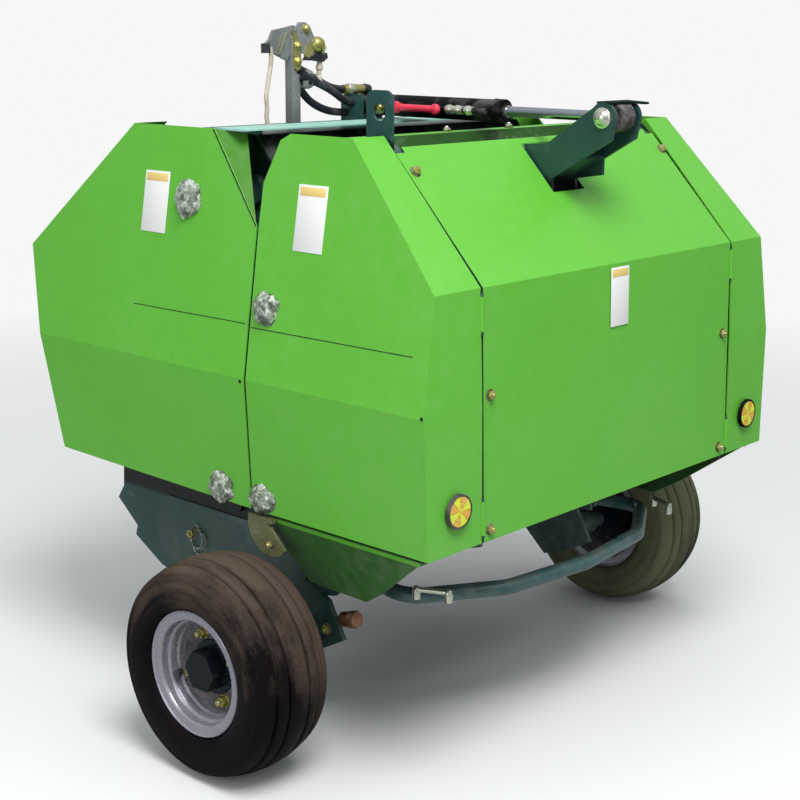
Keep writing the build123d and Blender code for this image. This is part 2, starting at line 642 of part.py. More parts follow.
LINE_X = -38.0
LINE_R = 6.0
FITTING_R = 9.0
FITTING_L = 16.0
VALVE_R = 12.0
LEVER_X = (LINE_X - 22.0, LINE_X - 13.0)
fitting_places = (268, 290, 312, 330)
with BuildPart() as oil_line:
    add(rod(LINE_R, on_axis(146, LINE_X), on_axis(366, LINE_X)))
    add(rod(VALVE_R, on_axis(168, LINE_X), on_axis(206, LINE_X)))
    add(rod(LINE_R, on_axis(187, LINE_X), on_axis(187, LEVER_X[1])))
    for place in fitting_places:
        with BuildSketch(Plane(origin=(LINE_X, at(on_axis(place)[1]), on_axis(place)[2]), z_dir=(0, -cos(rise), sin(rise)))):
            RegularPolygon(FITTING_R, 6)
        extrude(amount=FITTING_L)
    for place in (156, 356):
        add(rod(LINE_R - 1, on_axis(place, LINE_X), on_axis(place, -BARREL_R + 0.6)))
    add(rod(BARREL_R, on_axis(100), on_axis(GLAND_REACH)), mode=Mode.SUBTRACT)
keep("oil_line", oil_line.part)

LEVER_END_R = 12.0
lever_ends = (139, 251)
with BuildPart() as lever:
    for place in lever_ends:
        add(rod(LEVER_END_R, on_axis(place, LEVER_X[0]), on_axis(place, LEVER_X[1])))
    foot, head = (on_axis(place) for place in lever_ends)
    bar_corners = [(foot[1], foot[2] - 8), (head[1], head[2] - 8), (head[1], head[2] + 8), (foot[1], foot[2] + 8)]
    add(side_prism(bar_corners, LEVER_X[0] + 1, LEVER_X[1]))
keep("valve_lever", lever.part)

with BuildPart() as cylinder_rod:
    add(rod(ROD_R, on_axis(GLAND_REACH - ROD_INSIDE), on_axis(span - EYE_BORE_R - 2)))
    add(rod_x(EYE_R, -EYE_W / 2, EYE_W / 2, CLEVIS_Y, CLEVIS_Z))
    add(rod_x(EYE_BORE_R, -EYE_W, EYE_W, CLEVIS_Y, CLEVIS_Z), mode=Mode.SUBTRACT)
keep("cylinder_rod", cylinder_rod.part)

# Axles: bracket plate and spindle, and on it hub, rim and tyre
bracket_outline = [(-14, TYRE_R + 192), (120, TYRE_R + 152), (150, TYRE_R + 42), (40, TYRE_R - 58), (-29, TYRE_R - 34),
                   (-89, TYRE_R), (-49, TYRE_R + 71), (15, TYRE_R + 100)]
BRACKET_T = 10.0
BOSS_R = 26.0
with BuildPart() as axle_left:
    add(side_prism(bracket_outline, -PLATE_X, -PLATE_X - BRACKET_T))
    add(rod_x(BOSS_R, -PLATE_X - BRACKET_T, -TRACK_HALF + HUB_IN + 40, 0, TYRE_R))
    add(rod_x(SPINDLE_R, -PLATE_X - BRACKET_T, -TRACK_HALF - 15, 0, TYRE_R))
keep_pair("axle", axle_left.part)


def wheel_ring(points):
    """Ring about the left wheel's axis from (step outwards or inwards of the wheel's middle, radius) points."""
    with BuildPart() as ring:
        with BuildSketch(Plane(origin=(-TRACK_HALF, at(0), TYRE_R), x_dir=(1, 0, 0), z_dir=(0, -1, 0))):
            with BuildLine():
                Polyline(*points, close=True)
            make_face()
        revolve(axis=Axis((0, at(0), TYRE_R), (1, 0, 0)))
    return ring.part


half_rim = RIM_W / 2
seat_r = BEAD_R - RIM_T
well_r = WELL_R - RIM_T
rim_profile = [
    (half_rim, RIM_R), (half_rim - RIM_LIP, RIM_R), (half_rim - RIM_LIP, BEAD_R), (WELL_HALF + 10, BEAD_R),
    (WELL_HALF, WELL_R), (-WELL_HALF, WELL_R), (-WELL_HALF - 10, BEAD_R), (-half_rim + RIM_LIP, BEAD_R),
    (-half_rim + RIM_LIP, RIM_R), (-half_rim, RIM_R), (-half_rim, seat_r), (-WELL_HALF - 14, seat_r),
    (-WELL_HALF - 4, well_r), (DISC_SET - DISC_T, well_r), (DISC_SET - DISC_T, HUB_R), (DISC_SET, HUB_R),
    (DISC_SET, well_r), (WELL_HALF + 4, well_r), (WELL_HALF + 14, seat_r), (half_rim, seat_r),
]
DISC_X = TRACK_HALF - DISC_SET
with BuildPart() as rim_left:
    add(wheel_ring(rim_profile))
    with BuildSketch(Plane.YZ.offset(-DISC_X - DISC_T - 8)):
        with Locations((at(0), TYRE_R)):
            with PolarLocations(WHEEL_BOLT_R, NUT_COUNT, start_angle=45):
                RegularPolygon(NUT_R, 6)
    extrude(amount=8.5)
keep_pair("rim", rim_left.part)

side_swell = (RIM_R + TYRE_R) / 2 - 4
tread_half = TYRE_W / 2 - 14
bead_x = half_rim - RIM_LIP - SEAT
with BuildPart() as tyre_left:
    with BuildSketch(Plane(origin=(-TRACK_HALF, at(0), TYRE_R), x_dir=(1, 0, 0), z_dir=(0, -1, 0))):
        with BuildLine():
            Polyline((-bead_x, BEAD_R + SEAT), (-bead_x, RIM_R + 2), (-half_rim - 8, RIM_R + 8))
            ThreePointArc((-half_rim - 8, RIM_R + 8), (-TYRE_W / 2, side_swell), (-tread_half, TYRE_R - TYRE_SHOULDER))
            ThreePointArc((-tread_half, TYRE_R - TYRE_SHOULDER), (0, TYRE_R), (tread_half, TYRE_R - TYRE_SHOULDER))
            ThreePointArc((tread_half, TYRE_R - TYRE_SHOULDER), (TYRE_W / 2, side_swell), (half_rim + 8, RIM_R + 8))
            Polyline((half_rim + 8, RIM_R + 8), (bead_x, RIM_R + 2), (bead_x, BEAD_R + SEAT), (-bead_x, BEAD_R + SEAT))
        make_face()
    revolve(axis=Axis((0, at(0), TYRE_R), (1, 0, 0)))
keep_pair("tyre", tyre_left.part)

with BuildPart() as hub_left:
    add(rod_x(HUB_R, -TRACK_HALF + HUB_IN, -DISC_X - DISC_T, 0, TYRE_R))
    with BuildSketch(Plane.YZ.offset(-TRACK_HALF - HUB_OUT)):
        with Locations((at(0), TYRE_R)):
            RegularPolygon(CAP_R, 6)
    extrude(amount=CAP_L)
    add(rod_x(WHEEL_BOLT_R + 10, -DISC_X + FLANGE_T, -DISC_X, 0, TYRE_R))
    add(rod_x(SPINDLE_R + PIN_CLEAR, -TRACK_HALF + HUB_IN + 20, -TRACK_HALF - 17, 0, TYRE_R), mode=Mode.SUBTRACT)
keep_pair("hub", hub_left.part)

# Pick-up reel: tube, discs, tine bars and tines
REEL_DISC_T = 6.0
with BuildPart() as pickup_reel:
    add(rod_x(REEL_TUBE_R, -REEL_HALF, REEL_HALF, REEL_Y, REEL_Z))
    shaft_half = PLATE_IN - PICKUP_T - SEAT
    add(rod_x(REEL_SHAFT_R, -shaft_half, shaft_half, REEL_Y, REEL_Z))
    for side in (-1, 1):
        add(rod_x(TINE_BAR_AT + 14, side * REEL_HALF, side * (REEL_HALF - REEL_DISC_T), REEL_Y, REEL_Z))
    for row in range(TINE_ROWS):
        turn = 2 * pi * row / TINE_ROWS + pi / 4
        bar_y = REEL_Y + TINE_BAR_AT * cos(turn)
        bar_z = REEL_Z + TINE_BAR_AT * sin(turn)
        add(rod_x(TINE_BAR_R, -REEL_HALF, REEL_HALF, bar_y, bar_z))
        tine_plane = Plane(origin=(0, at(bar_y), bar_z), x_dir=(1, 0, 0), z_dir=(0, cos(turn), sin(turn)))
        with BuildSketch(tine_plane):
            with GridLocations(TINE_PITCH, 1, TINE_COUNT, 1):
                Circle(TINE_R)
        extrude(amount=TINE_TIP_R - TINE_BAR_AT)
keep("pickup_reel", pickup_reel.part)

# Stripper bands round the reel, on two rails between the side plates
band_start, band_end = radians(95), radians(-150)
band_arcs = [[(at(REEL_Y) + radius * cos(a), REEL_Z + radius * sin(a))
              for a in (band_start, (band_start + band_end) / 2, band_end)] for radius in (BAND_R, BAND_R + BAND_T)]
TOP_LEG = (-84, 146)
FOOT_LEG = (-158, 22)
with BuildPart() as stripper_bands:
    with BuildSketch(Plane.YZ.offset(-BAND_W / 2)):
        with BuildLine():
            ThreePointArc(*band_arcs[0])
            foot = (at(REEL_Y) + FOOT_LEG[0], REEL_Z + FOOT_LEG[1])
            Polyline(band_arcs[0][2], foot, (foot[0] - BAND_T, foot[1] + 1), band_arcs[1][2])
            ThreePointArc(*reversed(band_arcs[1]))
            top = (at(REEL_Y) + TOP_LEG[0], REEL_Z + TOP_LEG[1])
            Polyline(band_arcs[1][0], (top[0], top[1] + BAND_T), top, band_arcs[0][0])
        make_face()
    band = extrude(amount=BAND_W, mode=Mode.PRIVATE)
    for index in range(TINE_COUNT + 1):
        add(Pos((index - TINE_COUNT / 2) * TINE_PITCH, 0, 0) * band)
    for leg_y, leg_z in (TOP_LEG, FOOT_LEG):
        rail_y = (REEL_Y + leg_y + 1 - BAND_RAIL, REEL_Y + leg_y + 1)
        add(block((-PLATE_IN, PLATE_IN), rail_y, (REEL_Z + leg_z - 3, REEL_Z + leg_z - 3 + BAND_RAIL)))
keep("stripper_bands", stripper_bands.part)

# Hitch frame with the leg's sleeve, and the mast for the top link
BAR_FRONT = LEG_Y - LEG_SIDE / 2 - LEG_CLEAR - SLEEVE_WALL
BAR_REAR = BAR_FRONT - BAR_SIDE
sleeve_in = LEG_SIDE / 2 + LEG_CLEAR
sleeve_out = sleeve_in + SLEEVE_WALL
BAR_TOP = HITCH_Z + BAR_SIDE / 2
with BuildPart() as hitch_frame:
    add(block((-HITCH_SPACING / 2, HITCH_SPACING / 2), (BAR_REAR, BAR_FRONT), (HITCH_Z - BAR_SIDE / 2, BAR_TOP)))
    for side in (-1, 1):
        arm_x = side * HITCH_SPACING / 2
        add(block((arm_x - side * ARM_T, arm_x), (BEAM_FRONT, HITCH_Y + 30), (HITCH_Z - 15, HITCH_Z + 30)))
        add(rod_x(HITCH_PIN_R, arm_x, arm_x + side * HITCH_PIN_L, HITCH_Y, HITCH_Z))
    add(block((LEG_X - sleeve_out, LEG_X + sleeve_out), (LEG_Y - sleeve_out, LEG_Y + sleeve_out), SLEEVE_Z))
    add(block((LEG_X - sleeve_in, LEG_X + sleeve_in), (LEG_Y - sleeve_in, LEG_Y + sleeve_in),
              (SLEEVE_Z[0] - 1, SLEEVE_Z[1] + 1)), mode=Mode.SUBTRACT)
    for side in (-1, 1):
        upright = [(BAR_REAR, BAR_TOP), (BAR_FRONT, BAR_TOP), (TOP_LINK_Y + 20, TOP_LINK_Z + TOP_EAR_R),
                   (TOP_LINK_Y - 30, TOP_LINK_Z + TOP_EAR_R)]
        add(side_prism(upright, side * MAST_X, side * (MAST_X + MAST_T)))
        ear_y = (TOP_LINK_Y - TOP_EAR_R, TOP_LINK_Y + TOP_EAR_R)
        ear_z = (TOP_LINK_Z - TOP_EAR_R, TOP_LINK_Z + TOP_EAR_R)
        add(block((side * TOP_EAR_X, side * (TOP_EAR_X + MAST_T)), ear_y, ear_z))
        add(rod_x(TOP_PIN_R + 5, side * TOP_EAR_X, side * (MAST_X + MAST_T), TOP_LINK_Y, TOP_LINK_Z))
    add(rod_x(TOP_PIN_R, -MAST_X - MAST_T - 1, MAST_X + MAST_T + 1, TOP_LINK_Y, TOP_LINK_Z), mode=Mode.SUBTRACT)
    add(block((-MAST_X - MAST_T, MAST_X + MAST_T), (BAR_REAR, BAR_FRONT), (BAR_TOP, SHAFT_Z - GEARBOX_HALF)))
keep("hitch_frame", hitch_frame.part)

# Gearbox, closed, with its input shaft
GEARBOX_FRONT = GEARBOX_Y + GEARBOX_L
SHAFT_SHOULDER = FRONT_REACH - SHAFT_FREE
with BuildPart() as gearbox:
    add(block((-GEARBOX_HALF, GEARBOX_HALF), (GEARBOX_Y, GEARBOX_FRONT), (SHAFT_Z - GEARBOX_HALF, SHAFT_Z + GEARBOX_HALF)))
    fillet(gearbox.edges().filter_by(Axis.Y), 14)
    add(rod(GEARBOX_NOSE_R, (0, GEARBOX_FRONT, SHAFT_Z), (0, SHAFT_SHOULDER - 5, SHAFT_Z)))
    add(rod(JOURNAL_R + PIN_CLEAR, (0, GEARBOX_FRONT - 70, SHAFT_Z), (0, SHAFT_SHOULDER, SHAFT_Z)), mode=Mode.SUBTRACT)
keep("gearbox", gearbox.part)
with BuildPart() as input_shaft:
    add(rod(JOURNAL_R, (0, GEARBOX_FRONT - 70 + SEAT, SHAFT_Z), (0, SHAFT_SHOULDER, SHAFT_Z)))
    add(rod(SHAFT_R, (0, SHAFT_SHOULDER, SHAFT_Z), (0, FRONT_REACH, SHAFT_Z)))
keep("input_shaft", input_shaft.part)

# Parking leg
half_leg = LEG_SIDE / 2
with BuildPart() as parking_leg:
    add(block((LEG_X - half_leg, LEG_X + half_leg), (LEG_Y - half_leg, LEG_Y + half_leg), (FOOT_T, LEG_TOP)))
    add(block((LEG_X - half_leg + LEG_WALL, LEG_X + half_leg - LEG_WALL),
              (LEG_Y - half_leg + LEG_WALL, LEG_Y + half_leg - LEG_WALL), (FOOT_T - 1, LEG_TOP + 1)), mode=Mode.SUBTRACT)
    add(block((LEG_X - FOOT_HALF, LEG_X + FOOT_HALF), (LEG_Y - FOOT_HALF, LEG_Y + FOOT_HALF), (0, FOOT_T)))
keep("parking_leg", parking_leg.part)

# Bale ramp: a bowed tube on two pivots
ramp_half = [(RAMP_X, RAMP_Y), (RAMP_X + 22, -234), (217, -338)]
ramp_points = [(-x, y) for x, y in ramp_half] + [(0, RAMP_REACH)] + list(reversed(ramp_half))
with BuildPart() as bale_ramp:
    with BuildLine() as ramp_line:
        FilletPolyline(*[(x, at(y), RAMP_Z) for x, y in ramp_points], radius=RAMP_BEND_R)
    with BuildSketch(Plane(origin=ramp_line.line @ 0, z_dir=ramp_line.line % 0)):
        Circle(RAMP_R)
    sweep(path=ramp_line.line)
    for side in (-1, 1):
        add(rod_x(RAMP_EYE_R, side * (RAMP_X - 22), side * (RAMP_X + 22), RAMP_Y, RAMP_Z))
        add(rod_x(RAMP_PIN_R + PIN_CLEAR, side * (RAMP_X - 23), side * (RAMP_X + 23), RAMP_Y, RAMP_Z), mode=Mode.SUBTRACT)
keep("bale_ramp", bale_ramp.part)


def rollers(angles):
    """Chamber rollers with their stub shafts between the side plates."""
    with BuildPart() as group:
        for y, z in roller_places(angles):
            add(rod_x(ROLLER_R, -PLATE_IN + 6, PLATE_IN - 6, y, z))
            add(rod_x(STUB_R, -PLATE_IN, PLATE_IN, y, z))
    return group.part


keep("front_rollers", rollers(FRONT_ANGLES))
keep("tail_rollers", rollers(TAIL_ANGLES))

# Control post: two arms at its head, a push rod on the left and the hose junction on the right
JUNCTION_X = (POST_X + POST_SIDE / 2, -158.0)
JUNCTION_Z = (TOP_Z + 58.0, TOP_Z + 104.0)
ARM_PLATE = 8.0
half_post = POST_SIDE / 2
ROD_LEFT_X = -268.0
ROD_LEFT_R = 5.5
STUD_X = -133.0
STUD_Z = TOP_Z + 150.0
with BuildPart() as control_post:
    add(block((POST_X - half_post, POST_X + half_post), (POST_Y - half_post, POST_Y + half_post), (ROOF_Z, POST_TOP)))
    head_left = [(ROD_LEFT_X - 10, TOP_Z + 168), (ROD_LEFT_X + 12, TOP_Z + 134), (POST_X - 12, TOP_Z + 140),
                 (POST_X + 10, TOP_Z + 176), (POST_X + 4, TOP_Z + 188), (POST_X - 40, TOP_Z + 186)]
    add(cross_prism(head_left, POST_Y - 6, POST_Y - 6 + ARM_PLATE))
    head_right = [(POST_X + 4, TOP_Z + 180), (POST_X + 20, TOP_Z + 194), (POST_X + 40, TOP_Z + 190), (POST_X + 66, TOP_Z + 146),
                  (POST_X + 44, TOP_Z + 128), (POST_X + 20, TOP_Z + 128)]
    add(cross_prism(head_right, POST_Y - 16, POST_Y - 16 + ARM_PLATE))
    add(block((POST_X - 8, POST_X + 14), (POST_Y - 16, POST_Y + 4), (POST_TOP - 10, TOP_Z + 184)))
    add(rod(16, (STUD_X, POST_Y - 22, STUD_Z), (STUD_X, POST_Y + 2, STUD_Z)))
    add(rod(5, (STUD_X, POST_Y - 12, STUD_Z - 10), (STUD_X, POST_Y - 12, STUD_Z - 54)))
    add(block((STUD_X - 18, STUD_X + 18), (POST_Y - 24, POST_Y), (TOP_Z + 121, TOP_Z + 136)))
    add(rod(ROD_LEFT_R, (ROD_LEFT_X, POST_Y - 2, TOP_Z + 158), (ROD_LEFT_X, POST_Y - 2, ROOF_Z)))
    add(block(JUNCTION_X, (POST_Y - 26, POST_Y + 14), JUNCTION_Z))
keep("control_post", control_post.part)


def tube(radius, points, x_span, z_span):
    """Hose along straight runs and arcs as large as the runs allow, with its ends cut to two spans."""
    spots = [Vector(x, at(y), z) for x, y, z in points]
    radii = []
    for before, corner, after in zip(spots, spots[1:], spots[2:]):
        turn = (corner - before).get_angle(after - corner)
        shorter = min((corner - before).length, (after - corner).length)
        half_turn = radians(turn) / 2
        radii.append(0.45 * shorter * cos(half_turn) / sin(half_turn))
    print("hose radii", [round(value) for value in radii])
    with BuildPart() as hose:
        with BuildLine() as path:
            FilletPolyline(*spots, radius=radii)
        with BuildSketch(Plane(origin=path.line @ 0, z_dir=path.line % 0)):
            Circle(radius)
        sweep(path=path.line)
        add(block(x_span, (POST_Y - 60, POST_Y + 60), z_span), mode=Mode.INTERSECT)
    return hose.part


# Hoses from the junction to the ports of the mount, and one that ends in its coupler
FRONT_HOSE_Y = POST_Y - 16
BACK_HOSE_Y = POST_Y + 4
END_IN = 4.0
COUPLER_X = -52.0
COUPLER_Z = MOUNT_TOP + SEAT + COUPLER_R
upper_hose = [(PORT_X + END_IN, FRONT_HOSE_Y, UPPER_PORT_Z), (-70, FRONT_HOSE_Y, UPPER_PORT_Z + 7),
              (-98, FRONT_HOSE_Y - 1, UPPER_PORT_Z + 24), (-128, FRONT_HOSE_Y, UPPER_PORT_Z + 38),
              (JUNCTION_X[1] - END_IN, FRONT_HOSE_Y, UPPER_PORT_Z + 50)]
lower_hose = [(PORT_X + END_IN, BACK_HOSE_Y, LOWER_PORT_Z), (-72, BACK_HOSE_Y, LOWER_PORT_Z + 1),
              (-105, BACK_HOSE_Y + 1, LOWER_PORT_Z + 7), (-137, BACK_HOSE_Y, LOWER_PORT_Z + 19),
              (-161, BACK_HOSE_Y + 1, LOWER_PORT_Z + 35), (-176, BACK_HOSE_Y, JUNCTION_Z[0] + END_IN)]
coupled_hose = [(JUNCTION_X[1] - END_IN, BACK_HOSE_Y, JUNCTION_Z[1] - 10), (-128, BACK_HOSE_Y, COUPLER_Z + 22),
                (-102, BACK_HOSE_Y, COUPLER_Z + 9), (-76, BACK_HOSE_Y, COUPLER_Z + 2),
                (COUPLER_X + END_IN, BACK_HOSE_Y, COUPLER_Z)]
keep("hose_upper", tube(HOSE_R, upper_hose, (JUNCTION_X[1], PORT_X), (TOP_Z, POST_TOP)))
keep("hose_lower", tube(HOSE_R, lower_hose, (POST_X, PORT_X), (TOP_Z - 10, JUNCTION_Z[0])))
keep("hose_coupled", tube(HOSE_R, coupled_hose, (JUNCTION_X[1], COUPLER_X), (TOP_Z, POST_TOP)))
COUPLER_L = 82.0
COUPLER_CAP = 22.0
with BuildPart() as coupler:
    cap_x = COUPLER_X + COUPLER_L - COUPLER_CAP
    add(rod_x(COUPLER_R, COUPLER_X, cap_x, BACK_HOSE_Y, COUPLER_Z))
    add(rod_x(COUPLER_R - 1, cap_x, cap_x + COUPLER_CAP, BACK_HOSE_Y, COUPLER_Z))
keep("hose_coupler", coupler.part)

os.makedirs("parts", exist_ok=True)
for name, piece in parts.items():
    piece.label = name
    export_step(piece, f"parts/{name}.step")
print(len(parts), "sub-parts")
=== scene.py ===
"""Scene of the small round baler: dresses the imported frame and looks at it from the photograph's side.

Places are given as x, station and height in millimetres, as in the part's source: x from the middle plane
to the machine's right, stations forward from the wheel axle, and heights from the floor.
"""
import json
from math import atan2, cos, pi, radians, sin

import bmesh
import bpy
from mathutils import Matrix, Vector
from mathutils.noise import noise


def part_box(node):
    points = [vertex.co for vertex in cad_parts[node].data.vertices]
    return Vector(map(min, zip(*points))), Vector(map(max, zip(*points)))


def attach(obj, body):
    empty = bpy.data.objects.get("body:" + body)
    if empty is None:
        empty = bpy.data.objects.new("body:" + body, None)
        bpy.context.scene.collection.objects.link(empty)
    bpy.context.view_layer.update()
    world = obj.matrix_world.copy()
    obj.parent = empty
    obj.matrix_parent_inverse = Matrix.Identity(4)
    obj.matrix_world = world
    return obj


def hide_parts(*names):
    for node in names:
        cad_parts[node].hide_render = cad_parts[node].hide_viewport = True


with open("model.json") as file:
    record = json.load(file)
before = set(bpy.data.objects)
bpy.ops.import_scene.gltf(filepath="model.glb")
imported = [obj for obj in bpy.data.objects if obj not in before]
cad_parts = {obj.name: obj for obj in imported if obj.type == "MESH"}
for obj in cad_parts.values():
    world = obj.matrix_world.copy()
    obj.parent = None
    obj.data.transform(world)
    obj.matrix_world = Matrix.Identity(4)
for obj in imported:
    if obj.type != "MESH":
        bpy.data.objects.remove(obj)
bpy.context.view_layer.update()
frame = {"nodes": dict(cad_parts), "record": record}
nodes = frame["nodes"]

MM = 0.001
tyre_low, tyre_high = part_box("tyre_left")
AXLE_Y = (tyre_low[1] + tyre_high[1]) / 2 / MM
TYRE_R = (tyre_high[2] - tyre_low[2]) / 2 / MM
TRACK_HALF = -(tyre_low[0] + tyre_high[0]) / 2 / MM
PLATE_X = 400.0
COVER_FOOT_X = 548.0
CREASE_X = 557.0
COVER_TOP_X = 485.0
FOOT_Z = 485.0
CREASE_Z = 733.0
TOP_Z = 1177.0
SIDES = ((-1, "left"), (1, "right"))


def at(x, station, height):
    """A point in metres from x, station and height in millimetres."""
    return Vector((x, AXLE_Y + station, height)) * MM


# Camera, solved from the edges of the body in the photograph
scene = bpy.context.scene
CAMERA_AT = Vector((-2.37934, -2.29889, 1.35739))
VIEW_WAY = Vector((0.7169421, 0.65631204, -0.23505008))
CAMERA_ROLL = radians(0.32)
FOCAL_PIXELS = 1531.11
PICTURE = 800
SENSOR = 36.0


def add_camera():
    data = bpy.data.cameras.new("camera")
    data.sensor_width = SENSOR
    data.lens = FOCAL_PIXELS / PICTURE * SENSOR
    data.clip_end = 60
    camera = bpy.data.objects.new("camera", data)
    turn = VIEW_WAY.to_track_quat("-Z", "Y").to_matrix().to_4x4()
    camera.matrix_world = Matrix.Translation(CAMERA_AT) @ turn @ Matrix.Rotation(CAMERA_ROLL, 4, "Z")
    scene.collection.objects.link(camera)
    scene.camera = camera


add_camera()
scene.view_settings.view_transform = "Standard"
scene.view_settings.look = "None"


# Materials
class Tree:
    """Short calls for building a node tree."""

    def __init__(self, tree):
        self.tree = tree

    def node(self, kind, inputs=None, **settings):
        made = self.tree.nodes.new(kind)
        for name, value in settings.items():
            setattr(made, name, value)
        for key, value in (inputs or {}).items():
            self.put(made.inputs[key], value)
        return made

    def put(self, socket, value):
        if hasattr(value, "is_output"):
            self.tree.links.new(value, socket)
        else:
            socket.default_value = value

    def math(self, operation, *values, clamp=False):
        made = self.node("ShaderNodeMath", operation=operation, use_clamp=clamp)
        for socket, value in zip(made.inputs, values):
            self.put(socket, value)
        return made.outputs[0]

    def times(self, first, second, clamp=False):
        return self.math("MULTIPLY", first, second, clamp=clamp)

    def plus(self, first, second, clamp=False):
        return self.math("ADD", first, second, clamp=clamp)

    def noise(self, vector, scale, detail=3.0, roughness=0.55):
        made = self.node("ShaderNodeTexNoise", {"Vector": vector, "Scale": scale, "Detail": detail,
                                                "Roughness": roughness})
        return made.outputs["Fac"]

    def spread(self, value, low, high, to_low=0.0, to_high=1.0):
        made = self.node("ShaderNodeMapRange", {"Value": value, "From Min": low, "From Max": high,
                                                "To Min": to_low, "To Max": to_high})
        return made.outputs["Result"]

    def axis(self, vector, letter):
        return self.node("ShaderNodeSeparateXYZ", {"Vector": vector}).outputs[letter]

    def mix(self, share, first, second):
        made = self.node("ShaderNodeMix", {"Factor": share, 6: first, 7: second}, data_type="RGBA",
                         blend_type="MIX")
        return made.outputs[2]

    def bump(self, strength, distance, height):
        made = self.node("ShaderNodeBump", {"Strength": strength, "Distance": distance, "Height": height})
        return made.outputs["Normal"]

    def show(self, shader, kind="ShaderNodeOutputMaterial"):
        self.put(self.node(kind).inputs["Surface"], shader.outputs[0])


def new_material(name):
    """Empty material; gives it with its tree and the object's own coordinates, which are metres."""
    made = bpy.data.materials.new(name)
    made.use_nodes = True
    made.node_tree.nodes.clear()
    tree = Tree(made.node_tree)
    return made, tree, tree.node("ShaderNodeTexCoord").outputs["Object"]


def wear_group():
    """Mottled paint or rubber: broad and fine changes of colour, dust on what faces up or is low."""
    group = bpy.data.node_groups.new("Mottle and dust", "ShaderNodeTree")
    for way, socket, kind in (("INPUT", "Colour", "Color"), ("INPUT", "Dust", "Color"),
                              ("INPUT", "Scale", "Float"), ("INPUT", "Mottle", "Float"),
                              ("INPUT", "Dusty", "Float"), ("OUTPUT", "Colour", "Color"),
                              ("OUTPUT", "Dust mask", "Float"), ("OUTPUT", "Height", "Float")):
        group.interface.new_socket(socket, in_out=way, socket_type="NodeSocket" + kind)
    tree = Tree(group)
    given = tree.node("NodeGroupInput").outputs
    result = tree.node("NodeGroupOutput").inputs
    place = tree.node("ShaderNodeTexCoord").outputs["Object"]
    facing = tree.node("ShaderNodeNewGeometry").outputs["Normal"]
    broad = tree.noise(place, given["Scale"], 4.0)
    fine = tree.noise(place, tree.times(given["Scale"], 14.0), 3.0)
    tone = tree.plus(tree.spread(broad, 0.3, 0.7, -0.6, 0.6), tree.spread(fine, 0.3, 0.7, -0.4, 0.4))
    darker = tree.times(tree.times(tone, -1.0, clamp=True), given["Mottle"])
    lighter = tree.times(tree.times(tone, 1.0, clamp=True), tree.times(given["Mottle"], 0.5))
    dark = tree.mix(darker, given["Colour"], (0.0, 0.0, 0.0, 1.0))
    toned = tree.mix(lighter, dark, (1.0, 1.0, 1.0, 1.0))
    up = tree.axis(facing, "Z")
    low = tree.spread(tree.axis(place, "Z"), 0.6, 0.1)
    settled = tree.plus(tree.spread(up, 0.2, 1.0), tree.times(low, 0.6))
    patches = tree.spread(tree.noise(place, 9.0, 6.0, 0.65), 0.38, 0.7)
    mask = tree.times(tree.times(settled, patches), given["Dusty"], clamp=True)
    tree.put(result["Colour"], tree.mix(mask, toned, given["Dust"]))
    tree.put(result["Dust mask"], mask)
    tree.put(result["Height"], fine)
    return group


WEAR = wear_group()
DUST = (0.30, 0.26, 0.17, 1.0)
# Near black of the painted shade in the unlit bands
UNLIT = (0.0012, 0.005, 0.005, 1.0)


def material(name, colour, roughness=0.4, metallic=0.0, mottle=0.12, dusty=0.3, scale=2.5,
             bump=0.05, bump_scale=260.0, coat=0.0, gloss=0.5, unlit=()):
    """Principled material over the shared wear group, with a fine bump of its own scale in metres.

    Each unlit band is painted shade over four heights: the colour falls to near black over the first two
    and comes back over the last two.
    """
    made, tree, place = new_material(name)
    wear = tree.node("ShaderNodeGroup", {"Colour": (*colour, 1.0), "Dust": DUST, "Scale": scale,
                                         "Mottle": mottle, "Dusty": dusty}, node_tree=WEAR).outputs
    raised = tree.bump(bump, 0.001, tree.noise(place, bump_scale, 2.0))
    rough = tree.plus(tree.times(wear["Dust mask"], 0.45),
                      tree.spread(wear["Height"], 0.3, 0.7, roughness - 0.05, roughness + 0.05),
                      clamp=True)
    colour_now = wear["Colour"]
    # Painted shade: the colour falls to near black in each unlit band of heights
    for start, dark_from, dark_to, end in unlit:
        height = tree.axis(place, "Z")
        dark = tree.times(tree.spread(height, start, dark_from), tree.spread(height, end, dark_to))
        colour_now = tree.mix(dark, colour_now, UNLIT)
    shader = tree.node("ShaderNodeBsdfPrincipled",
                       {"Base Color": colour_now, "Metallic": metallic, "Roughness": rough,
                        "Normal": raised, "Coat Weight": coat, "Coat Roughness": 0.12,
                        "Specular IOR Level": gloss})
    tree.show(shader)
    return made


GREEN = material("green_paint", (0.130, 0.51, 0.043), 0.40, mottle=0.06, dusty=0.04, coat=0.1, bump=0.08,
                 gloss=0.4)
DARK_GREEN = material("shaded_green", (0.040, 0.13, 0.026), 0.5, mottle=0.3, dusty=0.2, scale=9.0)
# Painted shade: a darker copy of the cover green for the flaps bent in at the covers' tops
SHADED_FLAP_GREEN = material("flap_green_painted_shade", (0.066, 0.235, 0.026), 0.8, mottle=0.1, dusty=0.03, gloss=0.12)
TEAL = material("dark_teal_paint", (0.021, 0.078, 0.072), 0.36, mottle=0.25, dusty=0.22, coat=0.1, bump=0.1)
# Painted shade: a near black band below the covers' lower edge, and the plates' tops in the gap between the
# covers
SIDE_TEAL = material("side_teal_paint_with_painted_shade", (0.023, 0.085, 0.080), 0.36, mottle=0.25, dusty=0.22, coat=0.1,
                     bump=0.1, unlit=((0.378, 0.388, 0.47, 0.56), (1.03, 1.09, 1.30, 1.32)), gloss=0.35)
